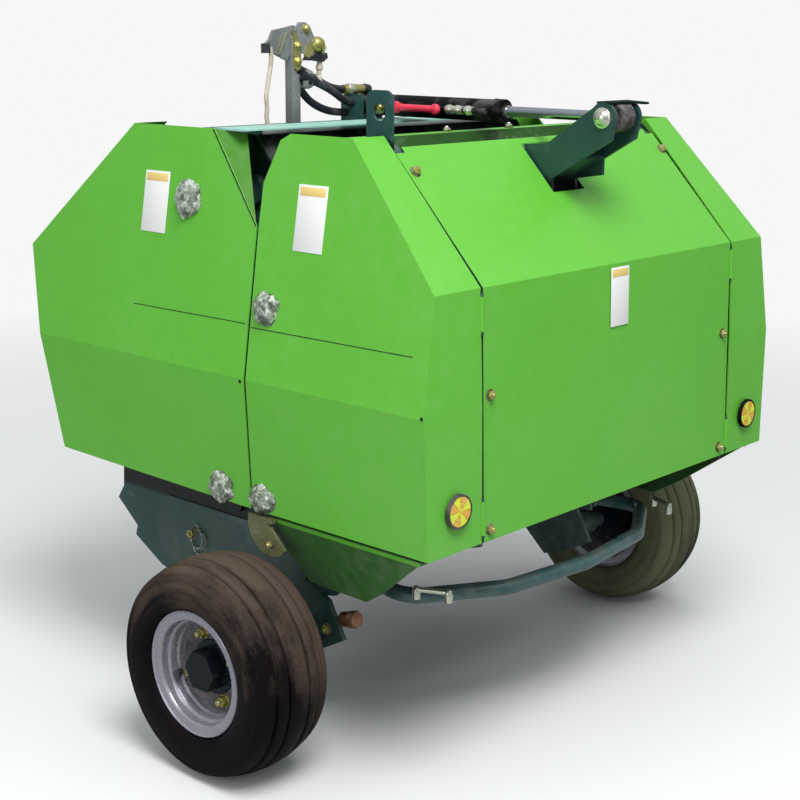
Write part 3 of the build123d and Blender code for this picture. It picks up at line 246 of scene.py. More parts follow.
# Painted shade: the tail plates go near black in the gap between the covers, below the lug
LUG_TEAL = material("lug_teal_paint_with_painted_shade", (0.021, 0.080, 0.074), 0.36, mottle=0.2, dusty=0.15, bump=0.1,
                    unlit=((1.055, 1.085, 1.160, 1.172),), gloss=0.35)
# Painted shade: the clevis bracket goes near black below its upper part
CLEVIS_TEAL = material("clevis_teal_paint_with_painted_shade", (0.016, 0.060, 0.052), 0.40, mottle=0.2, dusty=0.12, bump=0.1,
                       unlit=((0.90, 0.91, 1.078, 1.096),))
# Painted shade: near black teal on the roof slope seen in the gap between the covers, and on the clevis' top
# plate
SHADE_TEAL = material("painted_shade_teal", (0.003, 0.012, 0.012), 0.7, mottle=0.2, dusty=0.0, gloss=0.08)
# Painted light: a pale copy of the dark teal frame paint, as the roof deck looks in sunlight
LIT_ROOF_TEAL = material("roof_teal_painted_light", (0.34, 0.68, 0.58), 0.42, mottle=0.25, dusty=0.3, bump=0.1)
RAMP_TEAL = material("ramp_teal_paint", (0.034, 0.105, 0.112), 0.30, mottle=0.25, dusty=0.3, coat=0.3,
                     bump=0.1)
# Painted shade: a darker copy of the green for the skirts, which face down
SHADED_SKIRT = material("skirt_green_painted_shade", (0.036, 0.14, 0.024), 0.45, mottle=0.15, dusty=0.1)
SILVER = material("rim_silver", (0.37, 0.355, 0.42), 0.27, 0.5, mottle=0.12, dusty=0.04, scale=9.0, bump=0.1)
# The rim's disc: a darker copy of the silver, partly dust and partly painted shade in the dish
DUSTY_SHADED_DISC = material("rim_disc_silver_dust_and_painted_shade", (0.095, 0.083, 0.098), 0.42, 0.35, mottle=0.35, dusty=0.4, scale=12.0,
                bump=0.15)
HUB = material("hub_paint", (0.0035, 0.009, 0.015), 0.34, mottle=0.15, dusty=0.0, scale=12.0, gloss=0.18)
CHROME = material("chrome_rod", (0.42, 0.45, 0.52), 0.20, 1.0, mottle=0.08, dusty=0.0, bump=0.0)
EYE = material("rod_eye_brown", (0.016, 0.006, 0.006), 0.5, mottle=0.4, dusty=0.1, scale=20.0)
BLACK = material("black_paint", (0.003, 0.0035, 0.0045), 0.6, mottle=0.3, dusty=0.0, gloss=0.12)
ZINC = material("yellow_zinc", (0.50, 0.47, 0.15), 0.3, 0.7, mottle=0.35, dusty=0.1, scale=30.0)
BRIGHT_ZINC = material("bright_zinc", (0.72, 0.74, 0.62), 0.25, 0.85, mottle=0.3, dusty=0.1, scale=30.0)
BRASS = material("brass_port", (0.20, 0.19, 0.045), 0.25, 0.8, mottle=0.4, dusty=0.0, scale=30.0)
STEEL = material("worn_steel", (0.30, 0.29, 0.27), 0.45, 0.8, mottle=0.4, dusty=0.5, scale=20.0)
POST = material("post_paint", (0.235, 0.255, 0.250), 0.4, 0.2, mottle=0.35, dusty=0.25, scale=14.0)
RED = material("red_paint", (0.80, 0.030, 0.075), 0.35, mottle=0.12, dusty=0.1, coat=0.3)
HOSE = material("hose_rubber", (0.016, 0.017, 0.026), 0.42, mottle=0.3, dusty=0.15, bump=0.4,
                bump_scale=700.0)
CAST = material("cast_iron", (0.03, 0.08, 0.075), 0.55, mottle=0.4, dusty=0.4, bump=0.6, bump_scale=180.0)
RUST = material("rusty_steel", (0.10, 0.055, 0.030), 0.8, mottle=0.6, dusty=0.3, scale=25.0, bump=0.6)
LABEL = material("label_white", (0.90, 0.90, 0.88), 0.45, mottle=0.04, dusty=0.0, bump=0.0)
LABEL_HEAD = material("label_head", (0.88, 0.66, 0.22), 0.45, mottle=0.05, dusty=0.0, bump=0.0)
# Dark slits and holes, and painted shade along the flaps' folds
GAP_AND_FOLD_SHADE = material("dark_gap_and_fold_shade", (0.005, 0.016, 0.005), 0.9, mottle=0.1, dusty=0.0, bump=0.0)
COPPER = material("copper_stub", (0.42, 0.19, 0.10), 0.45, 0.7, mottle=0.5, dusty=0.3, scale=30.0)
LENS = material("lens_yellow", (0.80, 0.88, 0.015), 0.15, mottle=0.1, dusty=0.0, coat=0.8, bump=0.0)
LENS_ORANGE = material("lens_orange", (0.84, 0.44, 0.015), 0.2, mottle=0.2, dusty=0.0, coat=0.8, bump=0.0)
STRAP = material("pale_strap", (0.62, 0.55, 0.44), 0.55, mottle=0.35, dusty=0.1, scale=30.0, bump=0.3)
HOOK = material("hook_finish", (0.125, 0.135, 0.055), 0.35, mottle=0.22, dusty=0.0, scale=14.0, coat=0.2)


DARK_RUBBER = (0.0018, 0.0007, 0.0022, 1.0)
GREY_RUBBER = (0.0050, 0.0028, 0.0050, 1.0)


def tyre_material(name, dust, cover):
    """Rubber with dust in streaks round the tyre, thicker on its upper part and towards the machine.

    The same mask also paints light: lighter on top, and darker lower down and on the outer shoulder as
    painted shade.
    """
    made, tree, place = new_material(name)
    axes = tree.node("ShaderNodeSeparateXYZ", {"Vector": place}).outputs
    forward = tree.math("SUBTRACT", axes["Y"], AXLE_Y * MM)
    height = tree.math("SUBTRACT", axes["Z"], TYRE_R * MM)
    squares = tree.plus(tree.times(forward, forward), tree.times(height, height))
    radius = tree.math("SQRT", squares)
    round_way = tree.plus(forward, height)
    rings = tree.node("ShaderNodeCombineXYZ", {"X": tree.times(axes["X"], 26.0),
                                               "Y": tree.times(radius, 40.0),
                                               "Z": tree.times(round_way, 7.0)})
    streaks = tree.noise(rings.outputs[0], 1.0, 5.0, 0.65)
    broad = tree.noise(place, 7.0, 3.0)
    fine = tree.noise(place, 160.0, 4.0, 0.7)
    # Dust towards the machine, and painted shade: the outer shoulder stays dark
    inboard_dust_and_outer_shade = tree.spread(tree.math("ABSOLUTE", axes["X"]), 0.665, 0.595, 0.0, 0.70)
    # More dust higher up, which also paints the upper part lighter as painted light
    settled = tree.plus(tree.spread(height, -0.05, 0.18, cover - 0.72, cover + 0.50), inboard_dust_and_outer_shade)
    patchy = tree.plus(tree.spread(streaks, 0.3, 0.7, -0.42, 0.42),
                       tree.spread(broad, 0.3, 0.7, -0.25, 0.25))
    grit = tree.spread(fine, 0.3, 0.7, -0.12, 0.12)
    mask = tree.plus(tree.plus(settled, patchy), grit, clamp=True)
    rubber = tree.mix(tree.spread(broad, 0.35, 0.65), DARK_RUBBER, GREY_RUBBER)
    colour = tree.mix(mask, rubber, dust)
    relief = tree.plus(tree.times(streaks, 1.5), fine)
    raised = tree.bump(0.5, 0.002, relief)
    rough = tree.spread(mask, 0.0, 1.0, 0.52, 0.88)
    shader = tree.node("ShaderNodeBsdfPrincipled", {"Base Color": colour, "Roughness": rough,
                                                    "Normal": raised, "Specular IOR Level": 0.1})
    tree.show(shader)
    return made


RUBBER = tyre_material("tyre_rubber", (0.094, 0.066, 0.050, 1.0), 0.20)
# Right tyre: dust, and painted light: its colour is made lighter against the shadow the machine casts on it
DUSTY_LIT_RUBBER = tyre_material("dusty_tyre_rubber_painted_light", (0.165, 0.175, 0.098, 1.0), 1.0)


def film_material():
    """Crumpled clear film: streaks of white shine, a painted highlight, over the grey and green that show
    through.
    """
    made, tree, place = new_material("clear_film")
    folds_and_sheen = tree.noise(place, 75.0, 5.0, 0.7)
    broad = tree.noise(place, 32.0, 2.0)
    base = tree.mix(tree.spread(broad, 0.40, 0.62), (0.10, 0.13, 0.09, 1.0), (0.30, 0.36, 0.27, 1.0))
    # Painted highlight: white streaks along the folds
    colour = tree.mix(tree.spread(folds_and_sheen, 0.48, 0.66), base, (0.68, 0.72, 0.68, 1.0))
    raised = tree.bump(0.5, 0.002, folds_and_sheen)
    shader = tree.node("ShaderNodeBsdfPrincipled",
                       {"Base Color": colour, "Roughness": 0.16, "Normal": raised,
                        "Coat Weight": 0.6, "Alpha": tree.spread(folds_and_sheen, 0.40, 0.58, 0.55, 1.0)})
    tree.show(shader)
    return made


FILM = film_material()

SLOT_MATERIALS = {"cover": GREEN, "panel": GREEN, "frame": TEAL, "tyre": RUBBER, "rim": SILVER, "hub": HUB,
                  "chrome": CHROME, "barrel": BLACK, "zinc": ZINC, "steel": STEEL, "reflector": LENS,
                  "hose": HOSE, "casting": CAST, "lever": RED, "deck": LIT_ROOF_TEAL}
NODE_MATERIALS = {"control_post": POST, "pickup_reel": STEEL, "clevis_bracket": CLEVIS_TEAL,
                  "bale_ramp": RAMP_TEAL}
for _, hand in SIDES:
    NODE_MATERIALS |= {"skirt_" + hand: SHADED_SKIRT, "latch_hook_" + hand: HOOK,
                       "side_plate_" + hand: SIDE_TEAL, "tail_plate_" + hand: LUG_TEAL}


def paint_faces(name, look, chosen):
    """Gives a second finish to the faces of a node that are chosen by their centre and normal."""
    mesh = nodes[name].data
    mesh.materials.append(look)
    index = len(mesh.materials) - 1
    for face in mesh.polygons:
        if chosen(face.center.x / MM, face.center.y / MM - AXLE_Y, face.center.z / MM, face.normal):
            face.material_index = index


def dress_nodes():
    """Gives every CAD node its material, and some of their faces another."""
    for part in frame["record"]["subparts"]:
        look = NODE_MATERIALS.get(part["node"], SLOT_MATERIALS[part["material_slot"]])
        mesh = nodes[part["node"]].data
        mesh.materials.clear()
        mesh.materials.append(look)
    paint_faces("tail_frame", DARK_GREEN, lambda x, d, z, n: z < TOP_Z - 40 or n.y < -0.5)
    # The roof slope seen in the gap gets painted shade
    paint_faces("frame_beams", SHADE_TEAL, lambda x, d, z, n: n.y < -0.5 and z > 900)
    paint_faces("rear_panel", TEAL, lambda x, d, z, n: abs(n.x) > 0.9)
    paint_faces("cylinder_rod", EYE, lambda x, d, z, n: d < -368)
    for _, hand in SIDES:
        # The bent-in flaps get the green with painted shade
        paint_faces("cover_front_" + hand, SHADED_FLAP_GREEN,
                    lambda x, d, z, n: 0.4 < abs(n.x) < 0.6 and abs(n.y) > 0.55 and z > 1000)


dress_nodes()


# Making of pieces
def finish_piece(name, bm, look, body, smooth=40.0):
    """Object from a bmesh, with its finish, on its body."""
    mesh = bpy.data.meshes.new(name)
    bmesh.ops.recalc_face_normals(bm, faces=bm.faces)
    bm.to_mesh(mesh)
    bm.free()
    piece = bpy.data.objects.new(name, mesh)
    scene.collection.objects.link(piece)
    for finish in look if isinstance(look, (list, tuple)) else [look]:
        mesh.materials.append(finish)
    if smooth:
        mesh.shade_smooth()
        mesh.set_sharp_from_angle(angle=radians(smooth))
    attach(piece, body)
    return piece


def frame_of(origin, way, top=Vector((0, 0, 1))):
    """Matrix whose local Z points along way, at origin."""
    way = Vector(way).normalized()
    if abs(way.dot(top)) > 0.95:
        top = Vector((0, 1, 0))
    side = top.cross(way).normalized()
    up = way.cross(side)
    return Matrix.Translation(origin) @ Matrix((side, up, way)).transposed().to_4x4()


def add_lathe(bm, matrix, profile, steps=32, slot_index=0, close=False):
    """Ring of (radius, height) points in millimetres about the matrix's Z; radius 0 closes an end."""
    rings = []
    for radius, height in profile:
        if radius <= 0:
            rings.append([bm.verts.new(matrix @ Vector((0, 0, height * MM)))])
            continue
        rings.append([bm.verts.new(matrix @ Vector((radius * MM * cos(2 * pi * i / steps),
                                                    radius * MM * sin(2 * pi * i / steps), height * MM)))
                      for i in range(steps)])
    pairs = list(zip(rings, rings[1:]))
    if close:
        pairs.append((rings[-1], rings[0]))
    for low, high in pairs:
        for i in range(steps):
            after = (i + 1) % steps
            corners = [low[i % len(low)], low[after % len(low)],
                       high[after % len(high)], high[i % len(high)]]
            face = bm.faces.new(list(dict.fromkeys(corners)))
            face.material_index = slot_index


def add_hex(bm, matrix, across, low, high, slot_index=0, sides=6):
    """Nut or bolt head with bevelled top and bottom corners; across is over the flats, in millimetres."""
    corner = across / 2 / cos(pi / sides)
    cut = (high - low) * 0.16
    add_lathe(bm, matrix, [(0, low), (across / 2, low), (corner, low + cut), (corner, high - cut),
                           (across / 2, high), (0, high)], sides, slot_index)


def add_box(bm, matrix, size, bevel=0.0, slot_index=0):
    """Box of size (mm) about the matrix's origin, its edges rounded off by bevel."""
    scaled = matrix @ Matrix.Diagonal((*[length * MM for length in size], 1.0))
    made = bmesh.ops.create_cube(bm, size=1.0, matrix=scaled)
    verts = made["verts"]
    faces = list({face for vert in verts for face in vert.link_faces})
    for face in faces:
        face.material_index = slot_index
    if bevel:
        edges = list({edge for vert in verts for edge in vert.link_edges})
        bmesh.ops.bevel(bm, geom=edges, offset=bevel * MM, segments=2, affect="EDGES", profile=0.5)


def add_prism(bm, corners, offset, slot_index=0):
    """Plate through 3-D corners (metres), thickened along the offset vector."""
    low = [bm.verts.new(corner) for corner in corners]
    high = [bm.verts.new(corner + offset) for corner in corners]
    faces = [bm.faces.new(low), bm.faces.new(list(reversed(high)))]
    for i in range(len(low)):
        after = (i + 1) % len(low)
        faces.append(bm.faces.new([low[i], high[i], high[after], low[after]]))
    for face in faces:
        face.material_index = slot_index


def smooth_path(points, steps=8):
    """Points along a smooth line through the given ones."""
    spots = [points[0], *points, points[-1]]
    line = []
    for a, b, c, d in zip(spots, spots[1:], spots[2:], spots[3:]):
        for i in range(steps):
            t = i / steps
            line.append(0.5 * ((2 * b) + (c - a) * t + (2 * a - 5 * b + 4 * c - d) * t**2
                               + (3 * b - a - 3 * c + d) * t**3))
    line.append(points[-1])
    return line


def add_tube(bm, points, radius, sides=12, slot_index=0):
    """Tube of a radius in millimetres along points in metres, with closed ends."""
    rings = []
    top = Vector((0, 0, 1))
    for i, spot in enumerate(points):
        way = (points[min(i + 1, len(points) - 1)] - points[max(i - 1, 0)]).normalized()
        side = (top - way * way.dot(top))
        if side.length < 0.05:
            side = Vector((1, 0, 0)) - way * way.x
        side.normalize()
        top = side
        other = way.cross(side)
        rings.append([bm.verts.new(spot + (side * cos(2 * pi * k / sides) + other * sin(2 * pi * k / sides))
                                   * radius * MM) for k in range(sides)])
    for low, high in zip(rings, rings[1:]):
        for k in range(sides):
            after = (k + 1) % sides
            bm.faces.new([low[k], low[after], high[after], high[k]]).material_index = slot_index
    for ring in (rings[0], rings[-1]):
        bm.faces.new(ring).material_index = slot_index


def turned_piece(name, matrix, profile, steps, look, body, close=False):
    """Piece of one turned profile."""
    bm = bmesh.new()
    add_lathe(bm, matrix, profile, steps, close=close)
    return finish_piece(name, bm, look, body)


def plate_piece(name, corners, offset, look, body, smooth=0):
    """Piece of one plate."""
    bm = bmesh.new()
    add_prism(bm, corners, offset)
    return finish_piece(name, bm, look, body, smooth)


def add_bolt(bm, place, way, across=17.0, washer=0, head=0):
    """Head with a washer and a short thread end."""
    matrix = frame_of(place, way)
    add_lathe(bm, matrix, [(0, -0.5), (across * 0.66, -0.5), (across * 0.72, 0.4), (across * 0.72, 1.2),
                           (across * 0.66, 1.8), (0, 1.8)], 24, washer)
    add_hex(bm, matrix, across, 1.6, 1.6 + across * 0.42, head)
    add_lathe(bm, matrix, [(across * 0.30, 1.6 + across * 0.40), (across * 0.30, 1.6 + across * 0.60),
                           (across * 0.24, 1.6 + across * 0.68), (0, 1.6 + across * 0.68)], 16, head)


def bolts(name, places, way, body, across=17.0, look=ZINC):
    bm = bmesh.new()
    for place in places:
        add_bolt(bm, place, way, across, 1)
    return finish_piece(name, bm, [look, RUST], body)


SLOPE_FALL = TOP_Z - 935.0
SLOPE_RUN = 224.0
SLOPE_WAY = Vector((0, -SLOPE_FALL, SLOPE_RUN)).normalized()
REAR_WAY = Vector((0, -1.0, 0.03)).normalized()


def dress_panels():
    """Bolts of the slope and of the rear panel, and the turned-in corners above the slope."""
    slope = [at(-382, -242, 1117), at(391, -242, 1116)]
    bolts("slope_bolts", slope, SLOPE_WAY, "tailgate", 15.0)
    rear = [at(-382, -419, 747), at(-384, -426, 506), at(378, -419, 748), at(376, -426, 505)]
    bolts("rear_bolts", rear, REAR_WAY, "tailgate", 15.0)
    spots = [at(-84, -56, TOP_Z - 12), at(102, -62, TOP_Z - 12)]
    bolts("bar_bolts", spots, (0, 0, 1), "tailgate", 13.0, BRIGHT_ZINC)
    bm = bmesh.new()
    for side in (-1, 1):
        corners = [at(side * 394, -184, 1162), at(side * 373, -184, 1162), at(side * 373, -212, 1145.5),
                   at(side * 394, -212, 1145.5)]
        add_prism(bm, corners, Vector((0, 0, -0.0025)))
    finish_piece("turned_in_corners", bm, TEAL, "tailgate", 0)


# Half of a tyre's section, (distance from the tyre's middle, radius), from the bead to the middle rib
tyre_section = [(70.7, 102.5), (70.7, 120.8), (74, 122.5), (78, 125), (82, 129), (84.5, 134), (86, 141),
                (87.2, 150), (87.8, 160), (87.3, 168), (86, 176), (85.4, 178), (86, 180), (84, 186),
                (80, 190.5), (76, 193), (70, 195.6), (60, 198.8), (55.5, 199.8), (54, 198.5),
                (52.5, 194.5), (48.5, 194.5), (47, 201.5), (45, 203), (31, 205.6), (28.5, 205.6),
                (27, 204), (26, 199), (22, 199), (21, 205), (19.5, 206.6), (0, 208)]


def ridge_tyre(side, hand):
    """Ribbed tyre with grooves round the tread and fine rings on its bulged sidewall."""
    name = "tyre_" + hand
    profile = [(r, x) for x, r in tyre_section]
    profile += [(r, -x) for r, x in reversed(profile[:-1])]
    bm = bmesh.new()
    matrix = Matrix.Translation(at(side * TRACK_HALF, 0, TYRE_R)) @ Matrix.Rotation(pi / 2, 4, "Y")
    steps = 144
    add_lathe(bm, matrix, profile, steps, close=True)
    look = RUBBER if side < 0 else DUSTY_LIT_RUBBER
    piece = finish_piece("ribbed_" + name, bm, look, "wheel_" + hand, 50)
    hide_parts(name)


# Rim: (radius, distance outwards from the tyre's middle) points of its section
DISC_OUT = 23.0
NUT_CIRCLE_R = 66.0
NUT_TURNS = (66, 156, 246, 336)
rim_inside = [(118.8, 76), (117.2, 75.2), (115.6, 73.4), (112, 72.9), (106, 72.7), (102, 71.8),
              (99.8, 69.5), (99, 66), (98.6, 58), (97.6, 55.5), (94, 53.2), (92.6, 51), (92, 40),
              (91, 37.6), (88.6, 35.6), (87.6, 33), (87.4, 25), (86.4, 23.6)]
rim_disc = [(86.4, 23.6), (84.5, 23.0), (60, 23.0), (56, 24.2), (46.2, 24.2), (46.2, 17), (84.5, 17),
            (87.6, 15)]
rim_back = [(87.6, 15), (88, -20), (89.5, -24), (95, -36), (97.5, -39), (98, -66), (100, -70), (106, -71.4),
            (113, -72), (117, -74), (118.8, -76), (120, -75), (120, -72.4), (118.4, -70.8), (103, -70.5),
            (101.5, -68), (101.5, -31), (91.6, -20.5), (91.6, 20.5), (101.5, 31), (101.5, 68), (103, 70.5),
            (118.4, 70.8), (120, 72.4), (120, 75), (118.8, 76)]


def dress_wheel(side, hand):
    """Rolled rim shell with its disc, the wheel nuts, the valve stem and the hub's collar."""
    body = "wheel_" + hand
    out = Vector((side, 0, 0))
    disc_x = side * (TRACK_HALF + DISC_OUT)
    steps = 120
    bm = bmesh.new()
    wheel = frame_of(at(side * TRACK_HALF, 0, TYRE_R), out)
    add_lathe(bm, wheel, rim_inside, steps)
    add_lathe(bm, wheel, rim_disc, steps, 1)
    add_lathe(bm, wheel, rim_back, steps)
    bmesh.ops.remove_doubles(bm, verts=bm.verts, dist=0.00001)
    piece = finish_piece("rim_shell_" + hand, bm, [SILVER, DUSTY_SHADED_DISC], body, 35)
    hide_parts("rim_" + hand)
    bm = bmesh.new()
    for turn in NUT_TURNS:
        turn = radians(turn)
        spot = at(disc_x, NUT_CIRCLE_R * cos(turn), TYRE_R + NUT_CIRCLE_R * sin(turn))
        matrix = frame_of(spot, out)
        add_lathe(bm, matrix, [(0, -0.5), (12, -0.5), (12.5, 1.5), (11.5, 2.5), (0, 2.5)], 24)
        add_hex(bm, matrix, 18, 2, 13)
        add_lathe(bm, matrix, [(6, 12), (6, 19), (5, 20.5), (0, 20.5)], 16)
    finish_piece("wheel_nuts_" + hand, bm, ZINC, body)
    bm = bmesh.new()
    stem = [at(side * (TRACK_HALF + x), station, TYRE_R - drop)
            for x, station, drop in ((36, 85, 31), (44, 78, 29), (56, 72, 28))]
    add_tube(bm, smooth_path(stem), 6.0, 12)
    cap = frame_of(stem[-1], stem[-1] - stem[-2])
    add_lathe(bm, cap, [(6.5, -10), (8, -8), (8, 0), (6.5, 2), (0, 2)], 16)
    finish_piece("valve_stem_" + hand, bm, HOSE, body)
    collar = [(0, -0.5), (52, -0.5), (53, 1), (53, 3.5), (51.5, 5), (41, 5), (39.5, 8), (0, 8)]
    hub = frame_of(at(disc_x, 0, TYRE_R), out)
    turned_piece("hub_collar_" + hand, hub, collar, 48, HUB, body)


# The left covers' outer skin, which the film, the labels and the slit lie on
def skin_x(height):
    """x of the left covers' outer face at a height."""
    if height < CREASE_Z:
        return -COVER_FOOT_X - (CREASE_X - COVER_FOOT_X) * (height - FOOT_Z) / (CREASE_Z - FOOT_Z)
    return -CREASE_X + (CREASE_X - COVER_TOP_X) * (height - CREASE_Z) / (TOP_Z - CREASE_Z)


def on_skin(station, height, side=-1):
    """Frame on a cover's outer face: local Z outwards, local Y up the face."""
    slope = (skin_x(height + 1) - skin_x(height - 1)) / 2
    up = Vector((-side * slope, 0, 1)).normalized()
    out = Vector((side, 0, slope)).normalized()
    right = up.cross(out)
    matrix = Matrix((right, up, out)).transposed().to_4x4()
    return Matrix.Translation(at(-side * skin_x(height), station, height)) @ matrix


def add_label(name, matrix, width, height, body):
    """Blank white card with a coloured head."""
    bm = bmesh.new()
    add_box(bm, matrix @ Matrix.Translation((0, 0, 0.0006)), (width, height, 0.8), 0.3)
    head = matrix @ Matrix.Translation((0, height * 0.4 * MM, 0.0011))
    add_box(bm, head, (width * 0.88, height * 0.13, 0.5), 0.1, 1)
    finish_piece(name, bm, [LABEL, LABEL_HEAD], body)


def dress_labels():
    add_label("label_front_left", on_skin(319, 1032), 73, 118, "guard_front_left")
    add_label("label_rear_left", on_skin(-110, 1034), 73, 118, "guard_rear_left")
    add_label("label_rear_panel", frame_of(at(1.5, -417.5, 872), (0, -1, 0.028)), 58, 112, "tailgate")


def reflector(hand):
    """Reflector: thin black rim, and a lens of wedges in two colours."""
    name = "reflector_" + hand
    low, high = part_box(name)
    centre = Vector(((low[0] + high[0]) / 2, low[1], (low[2] + high[2]) / 2))
    depth = (high[1] - low[1]) / MM
    radius = (high[2] - low[2]) / 2 / MM
    matrix = frame_of(centre, (0, -1, 0))
    bm = bmesh.new()
    add_lathe(bm, matrix, [(0, -depth + 2), (radius - 1, -depth + 2), (radius, -depth + 3), (radius, -2),
                           (radius - 1, -0.2), (radius - 2.5, -0.2), (radius - 3, -2), (0, -2)], 48)
    wedges = 8
    rings = 3
    lens_r = radius - 4
    for k in range(wedges):
        for ring in range(rings):
            inner = lens_r * ring / rings + 1
            outer = lens_r * (ring + 1) / rings
            start, end = 2 * pi * (k + 0.03) / wedges, 2 * pi * (k + 0.97) / wedges
            corners = [(inner, start), (outer, start), (outer, (start + end) / 2), (outer, end),
                       (inner, end)]
            spots = [matrix @ Vector((r * MM * cos(a), r * MM * sin(a), -0.002)) for r, a in corners]
            lift = matrix.to_3x3() @ Vector((0, 0, 0.0012 + 0.0004 * (ring % 2)))
            add_prism(bm, spots, lift, 2 if k % 2 else 1)
    piece = finish_piece("lens_" + name, bm, [BLACK, LENS, LENS_ORANGE],
                         "guard_rear_" + hand, 30)
    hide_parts(name)


def add_film(name, matrix, width, height, depth, body, seed):
    """Crumpled wrapping round a latch, flat against the skin."""
    bm = bmesh.new()
    rows, columns = ((22, 34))
    grid = []
    for i in range(rows + 1):
        polar = pi * i / rows
        ring = []
        for j in range(columns):
            turn = 2 * pi * j / columns
            way = Vector((sin(polar) * cos(turn), cos(polar), sin(polar) * sin(turn)))
            swell = 1 + 0.2 * noise(way * 1.7 + Vector((seed, 0, 0)))
            swell += 0.1 * noise(way * 5.0 + Vector((0, seed, 0)))
            spot = Vector((way.x * width / 2, way.y * height / 2, way.z * depth)) * swell
            spot.z = max(spot.z, 0.3)
            ring.append(bm.verts.new(matrix @ (spot * MM)))
        grid.append(ring)
    for low, high in zip(grid, grid[1:]):
        for j in range(columns):
            after = (j + 1) % columns
            bm.faces.new([low[j], low[after], high[after], high[j]])
    bmesh.ops.remove_doubles(bm, verts=bm.verts, dist=0.0002)
    finish_piece(name, bm, FILM, body, 24)


def add_latch(name, matrix, body):
    """Toggle latch: base plate, paddle and its pivot."""
    bm = bmesh.new()
    add_box(bm, matrix @ Matrix.Translation((0, 0, 0.001)), (24, 46, 2), 0.5)
    paddle = matrix @ Matrix.Translation((0, -0.002, 0.006)) @ Matrix.Rotation(radians(7), 4, "X")
    add_box(bm, paddle, (15, 36, 3), 1.2)
    pivot = matrix @ Matrix.Translation((-0.010, 0.013, 0.006)) @ Matrix.Rotation(pi / 2, 4, "Y")
    add_lathe(bm, pivot, [(0, 0), (4, 0), (4, 20), (0, 20)], 16)
    for end in (-17, 17):
        rivet = matrix @ Matrix.Translation((0, end * MM, 0.002))
        add_lathe(bm, rivet, [(3.6, 0), (3.2, 1.6), (0, 2.2)], 14)
    finish_piece(name, bm, BRIGHT_ZINC, body)


# Guard, place on it, station, height, and the film's width and height
LATCHES = [("front", "upper", 223, 1044, 70, 74), ("rear", "upper", -21, 868, 62, 62),
           ("front", "low", 96, 512, 66, 60), ("rear", "low", -18, 511, 66, 56)]
FILM_DEPTH = 17.0
SLIT_FRONT = 358.0
SLIT_Z = 834.0
SLIT_TILT = 0.0068
SLITS = [("front", SLIT_FRONT, 31), ("rear", 14, -382)]
SMALL_HOLES = [("front", 30, 728), ("rear", -417, 735)]
FLAP_TOP = (171, TOP_Z - 1)
FLAP_LOW = (28, 1010)


def dress_covers():
    """Latches, film, the slits, small holes and the flaps' folds."""
    for seed, (guard, name, station, height, width, tall) in enumerate(LATCHES):
        matrix = on_skin(station, height)
        body = f"guard_{guard}_left"
        add_latch(f"latch_{guard}_{name}", matrix, body)
        add_film(f"film_{guard}_{name}", matrix, width, tall, FILM_DEPTH, body, 3.7 * seed + 1.3)
        add_latch(f"latch_right_{guard}_{name}", on_skin(station, height, 1), f"guard_{guard}_right")
    for guard, start, end in SLITS:
        bm = bmesh.new()
        reach = (start - end) / 2
        matrix = on_skin(start - reach, SLIT_Z - SLIT_TILT * (SLIT_FRONT - start + reach))
        add_box(bm, matrix @ Matrix.Rotation(SLIT_TILT, 4, "Z"), (reach * 2, 1.5, 0.8))
        finish_piece("slit_" + guard, bm, GAP_AND_FOLD_SHADE, f"guard_{guard}_left")
    for guard, station, height in SMALL_HOLES:
        hole = [(0, -0.3), (3.5, -0.3), (3.5, 0.5), (0, 0.5)]
        turned_piece("small_hole_" + guard, on_skin(station, height), hole, 16, GAP_AND_FOLD_SHADE,
                     f"guard_{guard}_left")
    # Dark strip along each flap's fold: painted shade in the step where the flap is bent in
    for side, hand in SIDES:
        top, low = [at(-side * skin_x(spot[1]), *spot) for spot in (FLAP_TOP, FLAP_LOW)]
        along = low - top
        fold = Vector((side, 0, 0.16)).normalized()
        width = along.cross(fold).normalized() * 0.0014
        corners = [top - width, top + width, low + width, low - width]
        plate_piece("flap_fold_shade_" + hand, corners, fold * 0.7 * MM, GAP_AND_FOLD_SHADE, "guard_front_" + hand)


# Lower edges
SKIRT_X = COVER_FOOT_X - 6.0
SKIRT_TOP = FOOT_Z - 7.0
SKIRT_SLOPE = 0.493


def dress_edges():
    """Light strip along each skirt's upper edge, and the hooks' bolts."""
    for side, hand in SIDES:
        corners = []
        for station, down in ((-36, 0.5), (-405, 0.5), (-399, 9.5), (-42, 9.5)):
            corners.append(at(side * (SKIRT_X - SKIRT_SLOPE * down + 0.2), station, SKIRT_TOP - down))
        offset = Vector((side, 0, -SKIRT_SLOPE)).normalized() * MM
        plate_piece("skirt_strip_" + hand, corners, offset, GREEN, "tailgate")
        bolts("hook_bolt_" + hand, [at(side * 563, -53, 434)], (side, 0, 0), "tailgate", 12.0)


# Raised plate of the wheel bracket as (station, height) corners, and the clear wrapping's rings
bracket_outline = [(120, 388), (440, 388), (458, 384), (472, 372), (480, 354), (481, 306), (474, 276),
                   (461, 246), (200, 246), (120, 300)]
WRAPPING_RINGS = ((24, 28), (29, 21), (19, 26))
RING_STEPS = 28


